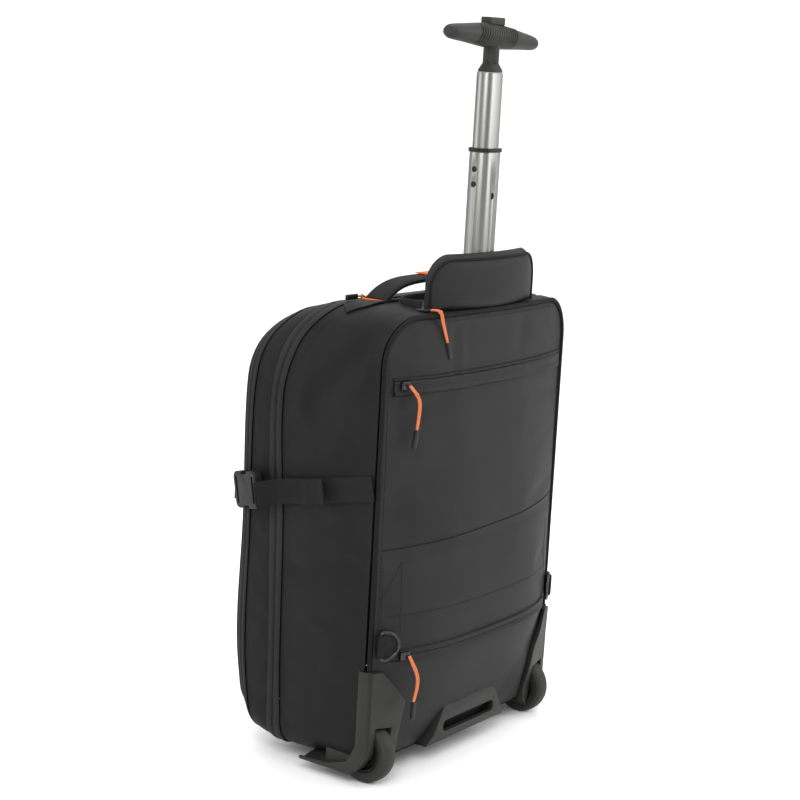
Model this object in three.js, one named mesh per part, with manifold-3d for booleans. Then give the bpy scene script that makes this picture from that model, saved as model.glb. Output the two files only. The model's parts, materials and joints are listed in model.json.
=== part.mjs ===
// A wheeled backpack: a domed, padded bag on two wheels, with a two-stage pull handle.
// Millimetres. X runs across the back panel, +Y away from it towards the front, +Z up from the floor.
// The back panel's border lies in the plane Y = 0 until the whole bag is centred at the end.

import * as THREE from 'three';
import { mergeVertices } from 'three/addons/utils/BufferGeometryUtils.js';
import Module from 'manifold-3d';

const wasm = await Module();
wasm.setup();

// Driving dimensions of the bag
const bagWidth = 350;
const bagTop = 500;
const bagBase = 20;
const bagDepth = 178;
const topCorner = 50;
const baseCorner = 24;
const padWall = 3;
const seamGap = 0.3;
const bandRise = 1.2;
const pipingRadius = 2.5;
const panelCrown = 33;
const frontCrown = 7;
const dentDepth = 5;

// Zips, hood and trims on the back panel
const zipTape = 1.4;
const upperZipHeight = 419;
const upperZipWidth = 17;
const upperZipFromSide = 15;
const lowerZipHeight = 137;
const lowerZipWidth = 11;
const lowerZipFromSide = 33;
const hoodHalf = 98;
const hoodHeight = 52;
const hoodCorner = 28;
const hoodGusset = 7.5;
const hoodBow = 16;
const hoodLift = 6;
const hoodWall = 2;
const rimHalf = 100;
const rimBack = 50;
const rimCorner = 24;
const rimHeight = 10;
const rimWall = 2;

// Top handle
const handleHalf = 98;
const handleRise = 21;
const handleWidth = 28;
const handleThickness = 8;
const handleDepth = 69;
const anchorLength = 50;
const anchorThickness = 2;
const anchorMargin = 2.5;
const trimWidth = 4;
const trimThickness = 2;

// Side straps and buckles
const strapWidth = 26.5;
const strapThickness = 1.8;
const strapHeight = 337;
const strapSlope = 11;
const strapLead = 105;
const strapTip = [139.5, 14.5];
const tailEnd = 55;
const tailBend = 100;
const buckleLength = 44;
const buckleWidth = 40;
const buckleThickness = 10;
const buckleTurn = 18;
const buckleOut = 9.4;
const buckleAt = 163;
const buckleRaise = 3;
const frontStrapIn = { start: 3, seat: 25, end: 51 };

// D-rings
const ringHeight = 34;
const ringReach = 25;
const ringWire = 1.9;
const ringLevel = 156;
const ringInset = 9;
const ringTurn = 27;
const loopHeight = 24;
const loopWall = 1.8;

// Wheels, housings and the carry plate
const wheelRadius = 33;
const wheelWidth = 20;
const wheelFromSide = 22;
const axleDepth = 10;
const hubRadius = 21;
const hubWidth = 18;
const axleRadius = 3;
const runningGap = 0.4;
const wheelSideGap = 2;
const wheelTreadGap = 4;
const housingTop = 128;
const housingFoot = 13;
const housingFace = 5;
const housingWall = 3;
const housingRound = 5;
const skidReach = 81;
const skidThickness = 3;
const plateHalf = 76;
const plateTop = 64;
const plateFoot = 22;
const plateFace = 17;
const slotHalf = 50;
const slotLow = 33;
const slotHigh = 46;
const footHalf = 13;
const footDepth = 34;
const footFromSide = 70;
const footFromBack = 112;

// Trolley
const trolleyDepth = 8;
const outerLong = 38;
const outerShort = 25;
const innerLong = 33;
const innerShort = 20.6;
const tubeWall = 1.4;
const channelClear = 1.2;
const channelWall = 1.6;
const channelFoot = 70;
const bezelHeight = 12;
const outerTop = 663;
const outerLength = 427;
const collarHeight = 4;
const collarRim = 1.4;
const rivetRadius = 3;
const rivetProud = 0.2;
const rivetLevels = { high: 18, low: 34 };
const innerTop = 746;
const innerLength = 428;
const lockHole = 3.5;
const lockLevel = 617;
const gripHalf = 82;
const gripLevel = 784;
const gripHeight = 29;
const gripDepth = 26;
const gripDroop = 1.5;
const gripTilt = 2.5;
const neckRadius = 8.6;
const neckHeight = 13;
const coneHeight = 12;
const coneRim = 0.6;
const buttonLength = 30;
const buttonDepth = 13;
const buttonHeight = 8;
const buttonProud = 5;
const buttonTravel = 3;

// Zip pulls
const sliderLength = 12;
const sliderWidth = 8;
const sliderThickness = 3;
const cordRadius = 2;
const tipLength = 19;
const tipWidth = 6;
const tipThickness = 4;

const colours = {
  fabric: 0x34363a,
  panel: 0x3c3d3f,
  tape: 0x2c2d2f,
  orange: 0xd8692a,
  plastic: 0x3b3c3b,
  rubber: 0x333432,
  metal: 0xaaaaa8,
  steel: 0x6d6e70,
};

const bagHalf = bagWidth / 2;
const upperZipHalf = bagHalf - upperZipFromSide;
const lowerZipHalf = bagHalf - lowerZipFromSide;
const bagHeight = bagTop - bagBase;
const cornerSteps = 4;
const sideSteps = 6;
const topSteps = 6;
const baseSteps = 6;
const arcSteps = 3;
const degree = Math.PI / 180;
const far = 400;

// Rows of the bag from the back border to the front edge. Drops, rises and depths are shares of
// the bag's height and depth; the five depth columns go up the side from the base to the top.
const bagRows = [
  { drop: 0, rise: 0, round: 1, tuck: 0,
    foot: 0, low: 0, middle: 0, upper: 0, shoulder: 0, top: 0 },
  { drop: 0, rise: 0, round: 1, tuck: 0,
    foot: 0.31, low: 0.32, middle: 0.33, upper: 0.34, shoulder: 0.3, top: 0.25 },
  { drop: 0, rise: -0.006, round: 1.1, tuck: 0,
    foot: 0.62, low: 0.65, middle: 0.67, upper: 0.71, shoulder: 0.6, top: 0.49 },
  { drop: 0.004, rise: -0.006, round: 1.22, tuck: 0,
    foot: 0.73, low: 0.74, middle: 0.77, upper: 0.8, shoulder: 0.715, top: 0.62 },
  { drop: 0.022, rise: 0.006, round: 1.22, tuck: 0.002,
    foot: 0.86, low: 0.93, middle: 0.93, upper: 0.935, shoulder: 0.87, top: 0.78 },
  { drop: 0.042, rise: 0.045, round: 1.25, tuck: 0.012,
    foot: 0.93, low: 1, middle: 0.99, upper: 1, shoulder: 0.965, top: 0.9 },
];
const depthHeights = [0, 0.2, 0.5, 0.8, 0.93, 1];
const depthColumns = ['foot', 'low', 'middle', 'upper', 'shoulder', 'top'];

// How far the back panel stands out, up its height, and how square its dome is across.
const domeRows = [
  { height: 0, crown: 0, square: 3.4 },
  { height: 0.08, crown: 0.38, square: 3.4 },
  { height: 0.25, crown: 1, square: 3.2 },
  { height: 0.52, crown: 0.86, square: 3 },
  { height: 0.82, crown: 0.58, square: 2.6 },
  { height: 0.94, crown: 0.48, square: 2.4 },
  { height: 1, crown: 0.5, square: 2.4 },
];

function curveThrough(stations, values, at) {
  const last = stations.length - 1;
  const x = Math.min(Math.max(at, stations[0]), stations[last]);
  let k = 0;
  while (k < last - 1 && x > stations[k + 1]) k += 1;
  const slope = (i) => {
    const a = Math.max(i - 1, 0);
    const b = Math.min(i + 1, last);
    return (values[b] - values[a]) / (stations[b] - stations[a]);
  };
  const span = stations[k + 1] - stations[k];
  const t = (x - stations[k]) / span;
  const rise = values[k + 1] - values[k];
  const bend = t * (1 - t) * span;
  const start = slope(k) - rise / span;
  const end = slope(k + 1) - rise / span;
  return values[k] + rise * t + bend * (start * (1 - t) - end * t);
}

function domeAt(x, z) {
  const height = (z - bagBase) / bagHeight;
  const heights = domeRows.map((row) => row.height);
  const crown = curveThrough(heights, domeRows.map((row) => row.crown), height);
  const square = curveThrough(heights, domeRows.map((row) => row.square), height);
  const across = Math.min(Math.abs(x) / bagHalf, 1);
  return -panelCrown * crown * (1 - across ** square);
}

// Mesh helpers

function closedGeometry(points, faces) {
  const geometry = new THREE.BufferGeometry();
  const numbers = points.flatMap((p) => [p.x, p.y, p.z]);
  geometry.setAttribute('position', new THREE.Float32BufferAttribute(numbers, 3));
  let volume = 0;
  for (let i = 0; i < faces.length; i += 3) {
    const [a, b, c] = [points[faces[i]], points[faces[i + 1]], points[faces[i + 2]]];
    volume += a.dot(new THREE.Vector3().crossVectors(b, c));
  }
  geometry.setIndex(volume > 0 ? faces : faces.slice().reverse());
  return geometry;
}

// A closed skin over rows of points. Each row is a closed loop. The rows close into a ring, or
// end in two fans about their centres. Each four-sided face is split so that left and right, and
// the two faces of one wall, mirror each other: backOf(i, j) says which faces lie on the back.
function skin(rows, ring, backOf = () => false) {
  const across = rows[0].length;
  const points = rows.flat();
  const faces = [];
  const spans = ring ? rows.length : rows.length - 1;
  for (let i = 0; i < spans; i += 1) {
    const next = (i + 1) % rows.length;
    for (let j = 0; j < across; j += 1) {
      const k = (j + 1) % across;
      const [a, b] = [i * across + j, i * across + k];
      const [c, d] = [next * across + k, next * across + j];
      const left = points[a].x + points[c].x < 0;
      if (left === backOf(i, j)) faces.push(a, b, c, a, c, d);
      else faces.push(a, b, d, b, c, d);
    }
  }
  if (!ring) {
    for (const [first, flip] of [[0, true], [rows.length - 1, false]]) {
      const centre = new THREE.Vector3();
      rows[first].forEach((p) => centre.addScaledVector(p, 1 / across));
      points.push(centre);
      for (let j = 0; j < across; j += 1) {
        const pair = [first * across + j, first * across + ((j + 1) % across)];
        if (flip) pair.reverse();
        faces.push(pair[0], pair[1], points.length - 1);
      }
    }
  }
  return closedGeometry(points, faces);
}

function welded(geometry) {
  const bare = geometry.clone();
  bare.deleteAttribute('normal');
  bare.deleteAttribute('uv');
  return mergeVertices(bare, 1e-4);
}

function toSolid(geometry) {
  const merged = welded(geometry);
  return new wasm.Manifold(new wasm.Mesh({
    numProp: 3,
    vertProperties: Float32Array.from(merged.attributes.position.array),
    triVerts: Uint32Array.from(merged.index.array),
  }));
}

function fromSolid(solid) {
  const mesh = solid.getMesh();
  const geometry = new THREE.BufferGeometry();
  geometry.setAttribute('position', new THREE.BufferAttribute(Float32Array.from(mesh.vertProperties), 3));
  geometry.setIndex(Array.from(mesh.triVerts));
  return geometry;
}

function box(width, depth, height, x, y, z) {
  return new THREE.BoxGeometry(width, depth, height).translate(x, y, z);
}

function polygon(pairs) {
  return new THREE.Shape(pairs.map(([a, b]) => new THREE.Vector2(a, b)));
}

// Shapes drawn in X and Z, pushed through from yFrom to yTo.
function throughY(shape, yFrom, yTo) {
  const geometry = new THREE.ExtrudeGeometry(shape, {
    depth: yTo - yFrom, bevelEnabled: false, curveSegments: arcSteps,
  });
  return geometry.rotateX(Math.PI / 2).translate(0, yTo, 0);
}

// Shapes drawn in X and Y, raised from zFrom to zTo.
function throughZ(shape, zFrom, zTo, curveSegments = arcSteps) {
  const geometry = new THREE.ExtrudeGeometry(shape, {
    depth: zTo - zFrom, bevelEnabled: false, curveSegments,
  });
  return geometry.translate(0, 0, zFrom);
}

// Shapes drawn in Y and Z, pushed through from xFrom to xTo.
function throughX(shape, xFrom, xTo) {
  const geometry = new THREE.ExtrudeGeometry(shape, {
    depth: xTo - xFrom, bevelEnabled: false, curveSegments: arcSteps,
  });
  geometry.applyMatrix4(new THREE.Matrix4().makeBasis(
    new THREE.Vector3(0, 1, 0), new THREE.Vector3(0, 0, 1), new THREE.Vector3(1, 0, 0),
  ));
  return geometry.translate(xFrom, 0, 0);
}

function roundedShape(halfWide, halfHigh, radius) {
  const shape = new THREE.Shape();
  const [w, h, r] = [halfWide, halfHigh, Math.min(radius, halfWide, halfHigh) * 0.999];
  shape.moveTo(-w + r, -h);
  shape.lineTo(w - r, -h).absarc(w - r, -h + r, r, -Math.PI / 2, 0);
  shape.lineTo(w, h - r).absarc(w - r, h - r, r, 0, Math.PI / 2);
  shape.lineTo(-w + r, h).absarc(-w + r, h - r, r, Math.PI / 2, Math.PI);
  shape.lineTo(-w, -h + r).absarc(-w + r, -h + r, r, Math.PI, Math.PI * 1.5);
  return shape;
}

function ovalShape(long, short) {
  return roundedShape(long / 2, short / 2, short * 0.46);
}

function mirrored(geometry) {
  const copy = welded(geometry).scale(-1, 1, 1);
  return copy.setIndex(Array.from(copy.index.array).reverse());
}

// A tube along chosen points, with flat ends.
function tube(points, radius, sides, steps) {
  const path = new THREE.CatmullRomCurve3(points.map((p) => new THREE.Vector3(...p)));
  const ring = new THREE.Shape();
  for (let i = 0; i <= sides; i += 1) {
    const turn = (i / sides) * 2 * Math.PI;
    const spot = [radius * Math.cos(turn), radius * Math.sin(turn)];
    if (i === 0) ring.moveTo(...spot);
    else if (i < sides) ring.lineTo(...spot);
  }
  return new THREE.ExtrudeGeometry(ring, { extrudePath: path, steps, bevelEnabled: false });
}

// The bag's shell

function rowAt(t) {
  const k = Math.min(Math.floor(t), bagRows.length - 2);
  const share = t - k;
  const mixed = {};
  for (const key of Object.keys(bagRows[k])) {
    mixed[key] = bagRows[k][key] * (1 - share) + bagRows[k + 1][key] * share;
  }
  return mixed;
}

function outline(row, inset) {
  const half = bagHalf - row.tuck * bagWidth - inset;
  const low = bagBase + row.rise * bagHeight + inset;
  const high = bagTop - row.drop * bagHeight - inset;
  const topRound = Math.max(topCorner * row.round - inset, 1);
  const baseRound = Math.max(baseCorner * row.round - inset, 1);
  const corners = [
    { x: half - baseRound, z: low + baseRound, radius: baseRound, from: -90, after: sideSteps },
    { x: half - topRound, z: high - topRound, radius: topRound, from: 0, after: topSteps },
    { x: topRound - half, z: high - topRound, radius: topRound, from: 90, after: sideSteps },
    { x: baseRound - half, z: low + baseRound, radius: baseRound, from: 180, after: baseSteps },
  ];
  const points = [];
  corners.forEach((corner, k) => {
    for (let i = 0; i <= cornerSteps; i += 1) {
      const turn = (corner.from + (90 * i) / cornerSteps) * degree;
      points.push([corner.x + corner.radius * Math.cos(turn), corner.z + corner.radius * Math.sin(turn)]);
    }
    const next = corners[(k + 1) % corners.length];
    const turn = next.from * degree;
    const end = [next.x + next.radius * Math.cos(turn), next.z + next.radius * Math.sin(turn)];
    const start = points[points.length - 1];
    for (let i = 1; i < corner.after; i += 1) {
      const share = i / corner.after;
      points.push([start[0] + (end[0] - start[0]) * share, start[1] + (end[1] - start[1]) * share]);
    }
  });
  return points;
}

function depthAt(t, x, z) {
  const row = rowAt(t);
  const low = bagBase + row.rise * bagHeight;
  const high = bagTop - row.drop * bagHeight;
  const share = (z - low) / (high - low);
  const depth = bagDepth * curveThrough(depthHeights, depthColumns.map((name) => row[name]), share);
  return depth + domeAt(x, z) * Math.max(1 - t, 0);
}

// The soft hollow that runs down and forward from the left top corner.
const dentFrom = new THREE.Vector2(bagDepth * 0.08, bagTop - bagHeight * 0.06);
const dentTo = new THREE.Vector2(bagDepth * 0.46, bagTop - bagHeight * 0.2);
const dentSpread = bagDepth * 0.1;

function dentAt(x, y, z) {
  if (x > 0) return 0;
  const run = dentTo.clone().sub(dentFrom);
  const spot = new THREE.Vector2(y, z).sub(dentFrom);
  const share = Math.min(Math.max(spot.dot(run) / run.lengthSq(), 0), 1);
  const away = spot.distanceTo(run.multiplyScalar(share));
  return dentDepth * Math.exp(-((away / dentSpread) ** 2));
}

function shellRing(from, to, steps, outerInset, innerInset, startGap, endGap) {
  const rows = outline(rowAt(from), 0).map(() => []);
  for (const side of [outerInset, innerInset]) {
    for (let k = 0; k <= steps; k += 1) {
      const share = side === outerInset ? k / steps : 1 - k / steps;
      const t = from + (to - from) * share;
      const seam = outline(rowAt(t), 0);
      outline(rowAt(t), side).forEach(([x, z], i) => {
        const y = depthAt(t, ...seam[i]) + startGap * (1 - share) - endGap * share;
        rows[i].push(new THREE.Vector3(x + dentAt(x, y, z), y, z));
      });
    }
  }
  return skin(rows, true, (i, j) => j > steps);
}

// A domed sheet inside an outline, from the surface frontOf(x, z, share) to backOf(x, z, share).
function domedSheet(row, inset, shares, frontOf, backOf) {
  const edge = outline(row, inset);
  const middle = (bagTop + bagBase) / 2;
  const loop = (share, surface) => edge.map(([x, z]) => {
    const spot = [x * share, middle + (z - middle) * share];
    return new THREE.Vector3(spot[0], surface(spot[0], spot[1], share), spot[1]);
  });
  return skin([
    ...shares.map((share) => loop(share, frontOf)),
    ...shares.slice().reverse().map((share) => loop(share, backOf)),
  ], false, (i) => i >= shares.length);
}

const panelInset = pipingRadius * 2 + 2 * seamGap;
const panelShares = [0.22, 0.55, 0.8, 0.94, 1];

function panelSheet(frontLift, backLift) {
  return domedSheet(
    bagRows[0], panelInset, panelShares,
    (x, z) => domeAt(x, z) - frontLift,
    (x, z) => domeAt(x, z) - backLift,
  );
}

// A piece of the panel's own surface, lifted off it, inside an outline drawn in X and Z.
function onPanel(shape, lift, thickness) {
  const layer = toSolid(panelSheet(lift + thickness, lift));
  return fromSolid(layer.intersect(toSolid(throughY(shape, -far, far))));
}

function onShell(shape, lift, thickness) {
  const layer = toSolid(shellRing(
    0, 2, 4, -lift - thickness, -lift, pipingRadius + 2 * seamGap, seamGap / 2,
  ));
  return fromSolid(layer.intersect(toSolid(throughZ(shape, (bagTop + bagBase) / 2, far * 2))));
}

// Wheel housings are cut out of the shell's two lower back corners.
const wheelCentre = bagHalf - wheelFromSide;
const wheelSlotHalf = wheelWidth / 2 + wheelSideGap;
const podInner = wheelCentre - wheelSlotHalf - housingWall;
const podOuter = bagHalf - padWall - 2 * seamGap;
const podBack = axleDepth + wheelRadius + wheelTreadGap + housingWall;
const podTop = wheelRadius * 2 + wheelTreadGap + housingWall;
const axleStart = podInner + housingWall / 2;

function podBlock(clearance) {
  const width = podOuter - podInner + 2 * clearance;
  const depth = podBack + housingFace + clearance + far;
  const height = podTop + clearance + far;
  return box(width, depth, height, (podInner + podOuter) / 2,
    podBack + clearance - depth / 2, podTop + clearance - height / 2);
}

function withoutPods(solid) {
  const pod = podBlock(seamGap);
  return solid.subtract(toSolid(pod)).subtract(toSolid(mirrored(pod)));
}

function trolleyHole(extra) {
  const wide = outerLong + 2 * (channelClear + channelWall) + 2 * extra;
  const deep = outerShort + 2 * (channelClear + channelWall) + 2 * extra;
  return ovalShape(wide, deep);
}

function makeBackPanel() {
  return fromSolid(withoutPods(toSolid(panelSheet(0, -padWall))));
}

function makeMainGusset() {
  const ring = toSolid(shellRing(0, 2, 4, 0, padWall, pipingRadius + 2 * seamGap, seamGap / 2));
  const hole = throughZ(trolleyHole(seamGap), bagTop - bagHeight / 4, bagTop + bagHeight / 4);
  return fromSolid(withoutPods(ring.subtract(toSolid(hole.translate(0, trolleyDepth, 0)))));
}

function makeBand(from, to) {
  return shellRing(from, to, 1, -bandRise, padWall, seamGap / 2, seamGap / 2);
}

function makeFrontGusset() {
  return shellRing(3, 4, 2, 0, padWall, seamGap / 2, seamGap / 2);
}

function makeFrontPanel() {
  const edgeRow = bagRows[5];
  const surface = (lift) => (x, z, share) => depthAt(5, x, z) + lift + frontCrown * (1 - share ** 3);
  return domedSheet(edgeRow, 0, [0.2, 0.5, 0.75, 0.92, 1], surface(seamGap + padWall), surface(seamGap));
}

function makePiping() {
  const foot = housingTop + seamGap;
  const middle = (bagTop + bagBase) / 2;
  const turns = Array.from({ length: 6 }, (unused, k) => (k / 6) * 2 * Math.PI);
  const loops = turns.map((turn) => outline(bagRows[0], pipingRadius - pipingRadius * Math.cos(turn)));
  const rows = [];
  outline(bagRows[0], pipingRadius).forEach(([x, z], i) => {
    if (z > middle) {
      rows.push(turns.map((turn, k) => new THREE.Vector3(
        loops[k][i][0], domeAt(x, z) + pipingRadius * Math.sin(turn), loops[k][i][1],
      )));
    }
  });
  const end = (side, z) => turns.map((turn) => new THREE.Vector3(
    side * (bagHalf - pipingRadius + pipingRadius * Math.cos(turn)),
    domeAt(bagHalf - pipingRadius, z) + pipingRadius * Math.sin(turn), z,
  ));
  const levels = [foot, (foot + middle) / 2];
  return skin([
    ...levels.map((z) => end(1, z)), ...rows, ...levels.slice().reverse().map((z) => end(-1, z)),
  ], false);
}

// Zip strips on the panel

function zipStrip(half, low, width) {
  const shape = polygon([[-half, low], [half, low], [half, low + width], [-half, low + width]]);
  return onPanel(shape, seamGap, zipTape);
}

// The hood over the pull handle, bowed round the tubes

const hoodFoot = bagTop + seamGap;

function hoodBody(wall, rear) {
  const half = hoodHalf - wall;
  const high = hoodFoot + hoodHeight - wall;
  const round = hoodCorner - wall;
  const edge = [];
  for (const side of [1, -1]) {
    const arc = [];
    for (let i = 0; i <= 5; i += 1) {
      const turn = (i / 5) * (Math.PI / 2);
      arc.push([side * (half - round + round * Math.cos(turn)), high - round + round * Math.sin(turn)]);
    }
    if (side < 0) arc.reverse();
    const foot = [side * half, hoodFoot - (wall ? hoodHeight : 0)];
    const mid = [side * half, (hoodFoot + high - round) / 2];
    edge.push(...(side > 0 ? [foot, mid, ...arc] : [...arc, mid, foot]));
    if (side > 0) edge.push([half * 0.3, high], [-half * 0.3, high]);
  }
  for (const share of [-0.6, -0.2, 0.2, 0.6]) edge.push([share * half, hoodFoot - (wall ? hoodHeight : 0)]);
  const centre = hoodFoot + hoodHeight / 2;
  const loop = (share, y, lift) => edge.map(([x, z]) => {
    const spot = [x * share, centre + (z - centre) * share];
    const bow = hoodBow * (1 - Math.min(Math.abs(spot[0]) / hoodHalf, 1) ** 2);
    const rise = lift * Math.max((spot[1] - hoodFoot) / hoodHeight, 0);
    return new THREE.Vector3(spot[0], y - bow, spot[1] + rise);
  });
  return skin([
    loop(0.3, wall - 3, 0),
    loop(0.7, wall - 2.6, 0),
    loop(0.93, wall - 2, 0),
    loop(1, wall, 0),
    loop(1, rear, hoodLift),
  ], false);
}

function makeHood() {
  const shell = toSolid(hoodBody(0, hoodGusset)).subtract(toSolid(hoodBody(hoodWall, hoodGusset * 2)));
  return fromSolid(shell);
}

function makeWellRim() {
  const start = hoodGusset + seamGap + 2;
  const path = (half, back, round) => {
    const shape = new THREE.Shape();
    shape.moveTo(half, start);
    shape.lineTo(half, back - round).absarc(half - round, back - round, round, 0, Math.PI / 2);
    shape.lineTo(round - half, back).absarc(round - half, back - round, round, Math.PI / 2, Math.PI);
    shape.lineTo(-half, start);
    return shape.getPoints(5);
  };
  const outer = path(rimHalf, rimBack, rimCorner);
  const inner = path(rimHalf - rimWall, rimBack - rimWall, rimCorner - rimWall).reverse();
  return throughZ(new THREE.Shape([...outer, ...inner]), bagTop + seamGap, bagTop + seamGap + rimHeight);
}

// Top handle, its anchors and trims

function makeGrabHandle() {
  const foot = bagTop + 2 * seamGap + anchorThickness;
  const arch = (half, low, rise) => {
    const points = [];
    for (let i = 0; i <= 12; i += 1) {
      const share = i / 6 - 1;
      points.push(new THREE.Vector2(share * half, low + rise * (1 - share ** 4)));
    }
    return points;
  };
  const top = arch(handleHalf, foot + trimThickness, handleRise);
  const under = arch(handleHalf, foot, handleRise - handleThickness + trimThickness).reverse();
  const y = handleDepth - handleWidth / 2;
  return throughY(new THREE.Shape([...top, ...under]), y, y + handleWidth);
}

function makeAnchor(side) {
  const start = side * (handleHalf - anchorLength / 4);
  const end = side * (handleHalf + anchorLength);
  const half = handleWidth / 2;
  const shape = polygon([
    [start, handleDepth - half - anchorMargin],
    [end - side * anchorLength / 4, handleDepth - half - anchorMargin],
    [end, handleDepth], [end - side * anchorLength / 4, handleDepth + half + anchorMargin],
    [start, handleDepth + half + anchorMargin],
  ]);
  return onShell(shape, seamGap, anchorThickness);
}

function makeTrim(side) {
  const z = bagTop + 2 * seamGap + anchorThickness;
  const x = side * (handleHalf + seamGap + trimWidth / 2);
  return box(trimWidth, handleWidth + trimWidth, trimThickness, x, handleDepth, z + trimThickness / 2);
}

function makeTopTrim() {
  const z = bagTop + 3 * seamGap + anchorThickness + trimThickness + handleRise;
  return box(handleWidth, handleWidth * 0.8, trimThickness / 2, 0, handleDepth, z + trimThickness / 4);
}

// Side straps. They are drawn level in plan, then turned down to their slope.

const strapSeat = bandRise + seamGap;

function alongSide(geometry) {
  return geometry.rotateX(-strapSlope * degree).translate(0, 0, strapHeight - strapWidth / 2);
}

function makeSideStrap() {
  const back = pipingRadius + seamGap;
  const lift = strapSeat + strapThickness;
  const slope = Math.atan2(strapTip[1] - strapSeat, strapTip[0] - strapLead);
  const bend = Math.tan(slope / 2);
  const atLead = (thick) => [strapLead - thick * bend, strapSeat + thick];
  const atTip = (short, thick) => [
    strapTip[0] - short * Math.cos(slope) - thick * Math.sin(slope),
    strapTip[1] - short * Math.sin(slope) + thick * Math.cos(slope),
  ];
  const under = strapThickness + seamGap;
  const over = under + strapThickness;
  const curl = tailBend - tailEnd;
  const path = [
    [back, seamGap], [strapLead * 0.5, strapSeat], atLead(0), atTip(0, 0), atTip(0, over), atLead(over),
    [tailBend, strapSeat + over], [tailBend - curl * 0.22, lift + strapThickness * 5],
    [tailBend - curl * 0.52, lift + strapThickness * 4], [tailEnd, lift + strapThickness * 8],
    [tailEnd + strapThickness / 2, lift + strapThickness * 7],
    [tailBend - curl * 0.52, lift + strapThickness * 3],
    [tailBend - curl * 0.22, lift + strapThickness * 3.8],
    [tailBend, strapSeat + under], atLead(under), atTip(strapThickness, under),
    atTip(strapThickness, strapThickness), atLead(strapThickness),
    [strapLead * 0.5, lift], [back, seamGap + strapThickness],
  ];
  const shape = polygon(path.map(([at, out]) => [-bagHalf - out, at]));
  return alongSide(throughZ(shape, -strapWidth / 2, strapWidth / 2));
}

function placeBuckle(geometry) {
  const along = new THREE.Vector3(Math.sin(buckleTurn * degree), Math.cos(buckleTurn * degree), 0);
  const up = new THREE.Vector3(0, 0, 1);
  geometry.applyMatrix4(new THREE.Matrix4().makeBasis(along, up, along.clone().cross(up)));
  return alongSide(geometry.translate(-bagHalf - buckleOut, buckleAt, buckleRaise));
}

function makeBuckle() {
  const frame = roundedShape(buckleLength / 2, buckleWidth / 2, buckleWidth * 0.16);
  const edge = buckleThickness * 0.1;
  const block = new THREE.ExtrudeGeometry(frame, {
    depth: buckleThickness - 2 * edge, bevelEnabled: true, bevelSize: edge, bevelThickness: edge,
    bevelSegments: 1, bevelOffset: -edge, curveSegments: 2,
  }).translate(0, 0, edge - buckleThickness / 2);
  const slotFrom = buckleLength * 0.36;
  const slots = [slotFrom, -slotFrom].map((x) => box(
    strapThickness * 2, strapWidth + 2, buckleThickness * 2, x, 0, 0,
  ));
  const notches = [0.5, -0.5].map((share) => box(
    buckleLength * 0.24, buckleWidth * 0.16, buckleThickness * 2, 0, buckleWidth * share, 0,
  ));
  const cut = [...slots, ...notches].reduce((solid, hole) => solid.subtract(toSolid(hole)), toSolid(block));
  return placeBuckle(fromSolid(cut));
}

function makeFrontStrap() {
  const drop = Math.sin(strapSlope * degree) * (buckleAt + buckleLength / 2) - buckleRaise;
  const level = strapHeight - strapWidth / 2 - drop;
  const edge = bagHalf - bagRows[5].tuck * bagWidth;
  const seat = (x) => {
    const levels = [-1, 0, 1].map((share) => depthAt(5, -x, level + share * strapWidth / 2));
    return Math.max(...levels) + padWall + 2 * seamGap + frontCrown * (1 - (x / edge) ** 3);
  };
  const top = bagDepth + strapThickness * 7.2;
  const run = frontStrapIn.end - frontStrapIn.seat;
  const spots = [0, 0.33, 0.67, 1].map((share) => bagHalf - frontStrapIn.seat - run * share);
  const inner = [[frontStrapIn.start - bagHalf, top], ...spots.map((x) => [-x, seat(x)])];
  const outer = inner.map(([x, y]) => [x, y + strapThickness]).reverse();
  const strap = throughZ(polygon([...inner, ...outer]), level - strapWidth / 2, level + strapWidth / 2);
  const keepOut = placeBuckle(new THREE.BoxGeometry(
    buckleLength + 2 * seamGap, buckleWidth + 2 * seamGap, buckleThickness + 2 * seamGap,
  ));
  return fromSolid(toSolid(strap).subtract(toSolid(keepOut)));
}

// D-rings lie along the panel's slope, each on a webbing loop beside the piping.

function placeRing(geometry) {
  const x = -(bagHalf - ringInset);
  const y = domeAt(x, ringLevel) - loopWall - ringWire - seamGap * 3;
  return geometry.rotateZ(-ringTurn * degree).translate(x, y, ringLevel);
}

function makeRing() {
  const half = ringHeight / 2 - ringWire;
  const bar = [];
  for (let i = 0; i <= 4; i += 1) bar.push([0, -half + (i / 4) * 2 * half]);
  const arc = [];
  for (let i = 1; i < 10; i += 1) {
    const turn = Math.PI / 2 - (i / 10) * Math.PI;
    arc.push([(ringReach - 2 * ringWire) * Math.cos(turn), half * Math.sin(turn)]);
  }
  const path = [...bar, ...arc];
  const rows = path.map(([x, z], i) => {
    const before = path[(i + path.length - 1) % path.length];
    const after = path[(i + 1) % path.length];
    const out = new THREE.Vector3(after[1] - before[1], 0, before[0] - after[0]).normalize();
    return Array.from({ length: 6 }, (unused, k) => {
      const turn = (k / 6) * 2 * Math.PI;
      const spot = new THREE.Vector3(x, 0, z).addScaledVector(out, ringWire * Math.cos(turn));
      return spot.setY(ringWire * Math.sin(turn));
    });
  });
  return placeRing(skin(rows, true));
}

function makeRingLoop() {
  const hole = ringWire + seamGap * 2;
  const outer = hole + loopWall;
  const shape = new THREE.Shape();
  shape.absarc(0, 0, outer, -Math.PI * 0.5, Math.PI * 0.5);
  shape.lineTo(-ringInset + pipingRadius * 2, outer - seamGap);
  shape.lineTo(-ringInset + pipingRadius * 2, outer - loopWall);
  shape.lineTo(-outer, 0);
  shape.lineTo(-outer * 0.7, -outer * 0.7);
  const eye = new THREE.Path();
  eye.absarc(0, 0, hole, 0, Math.PI * 2, true);
  shape.holes.push(eye);
  const loop = toSolid(placeRing(throughZ(shape, -loopHeight / 2, loopHeight / 2, 4)));
  return fromSolid(loop.subtract(toSolid(panelSheet(seamGap, -far))));
}

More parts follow.
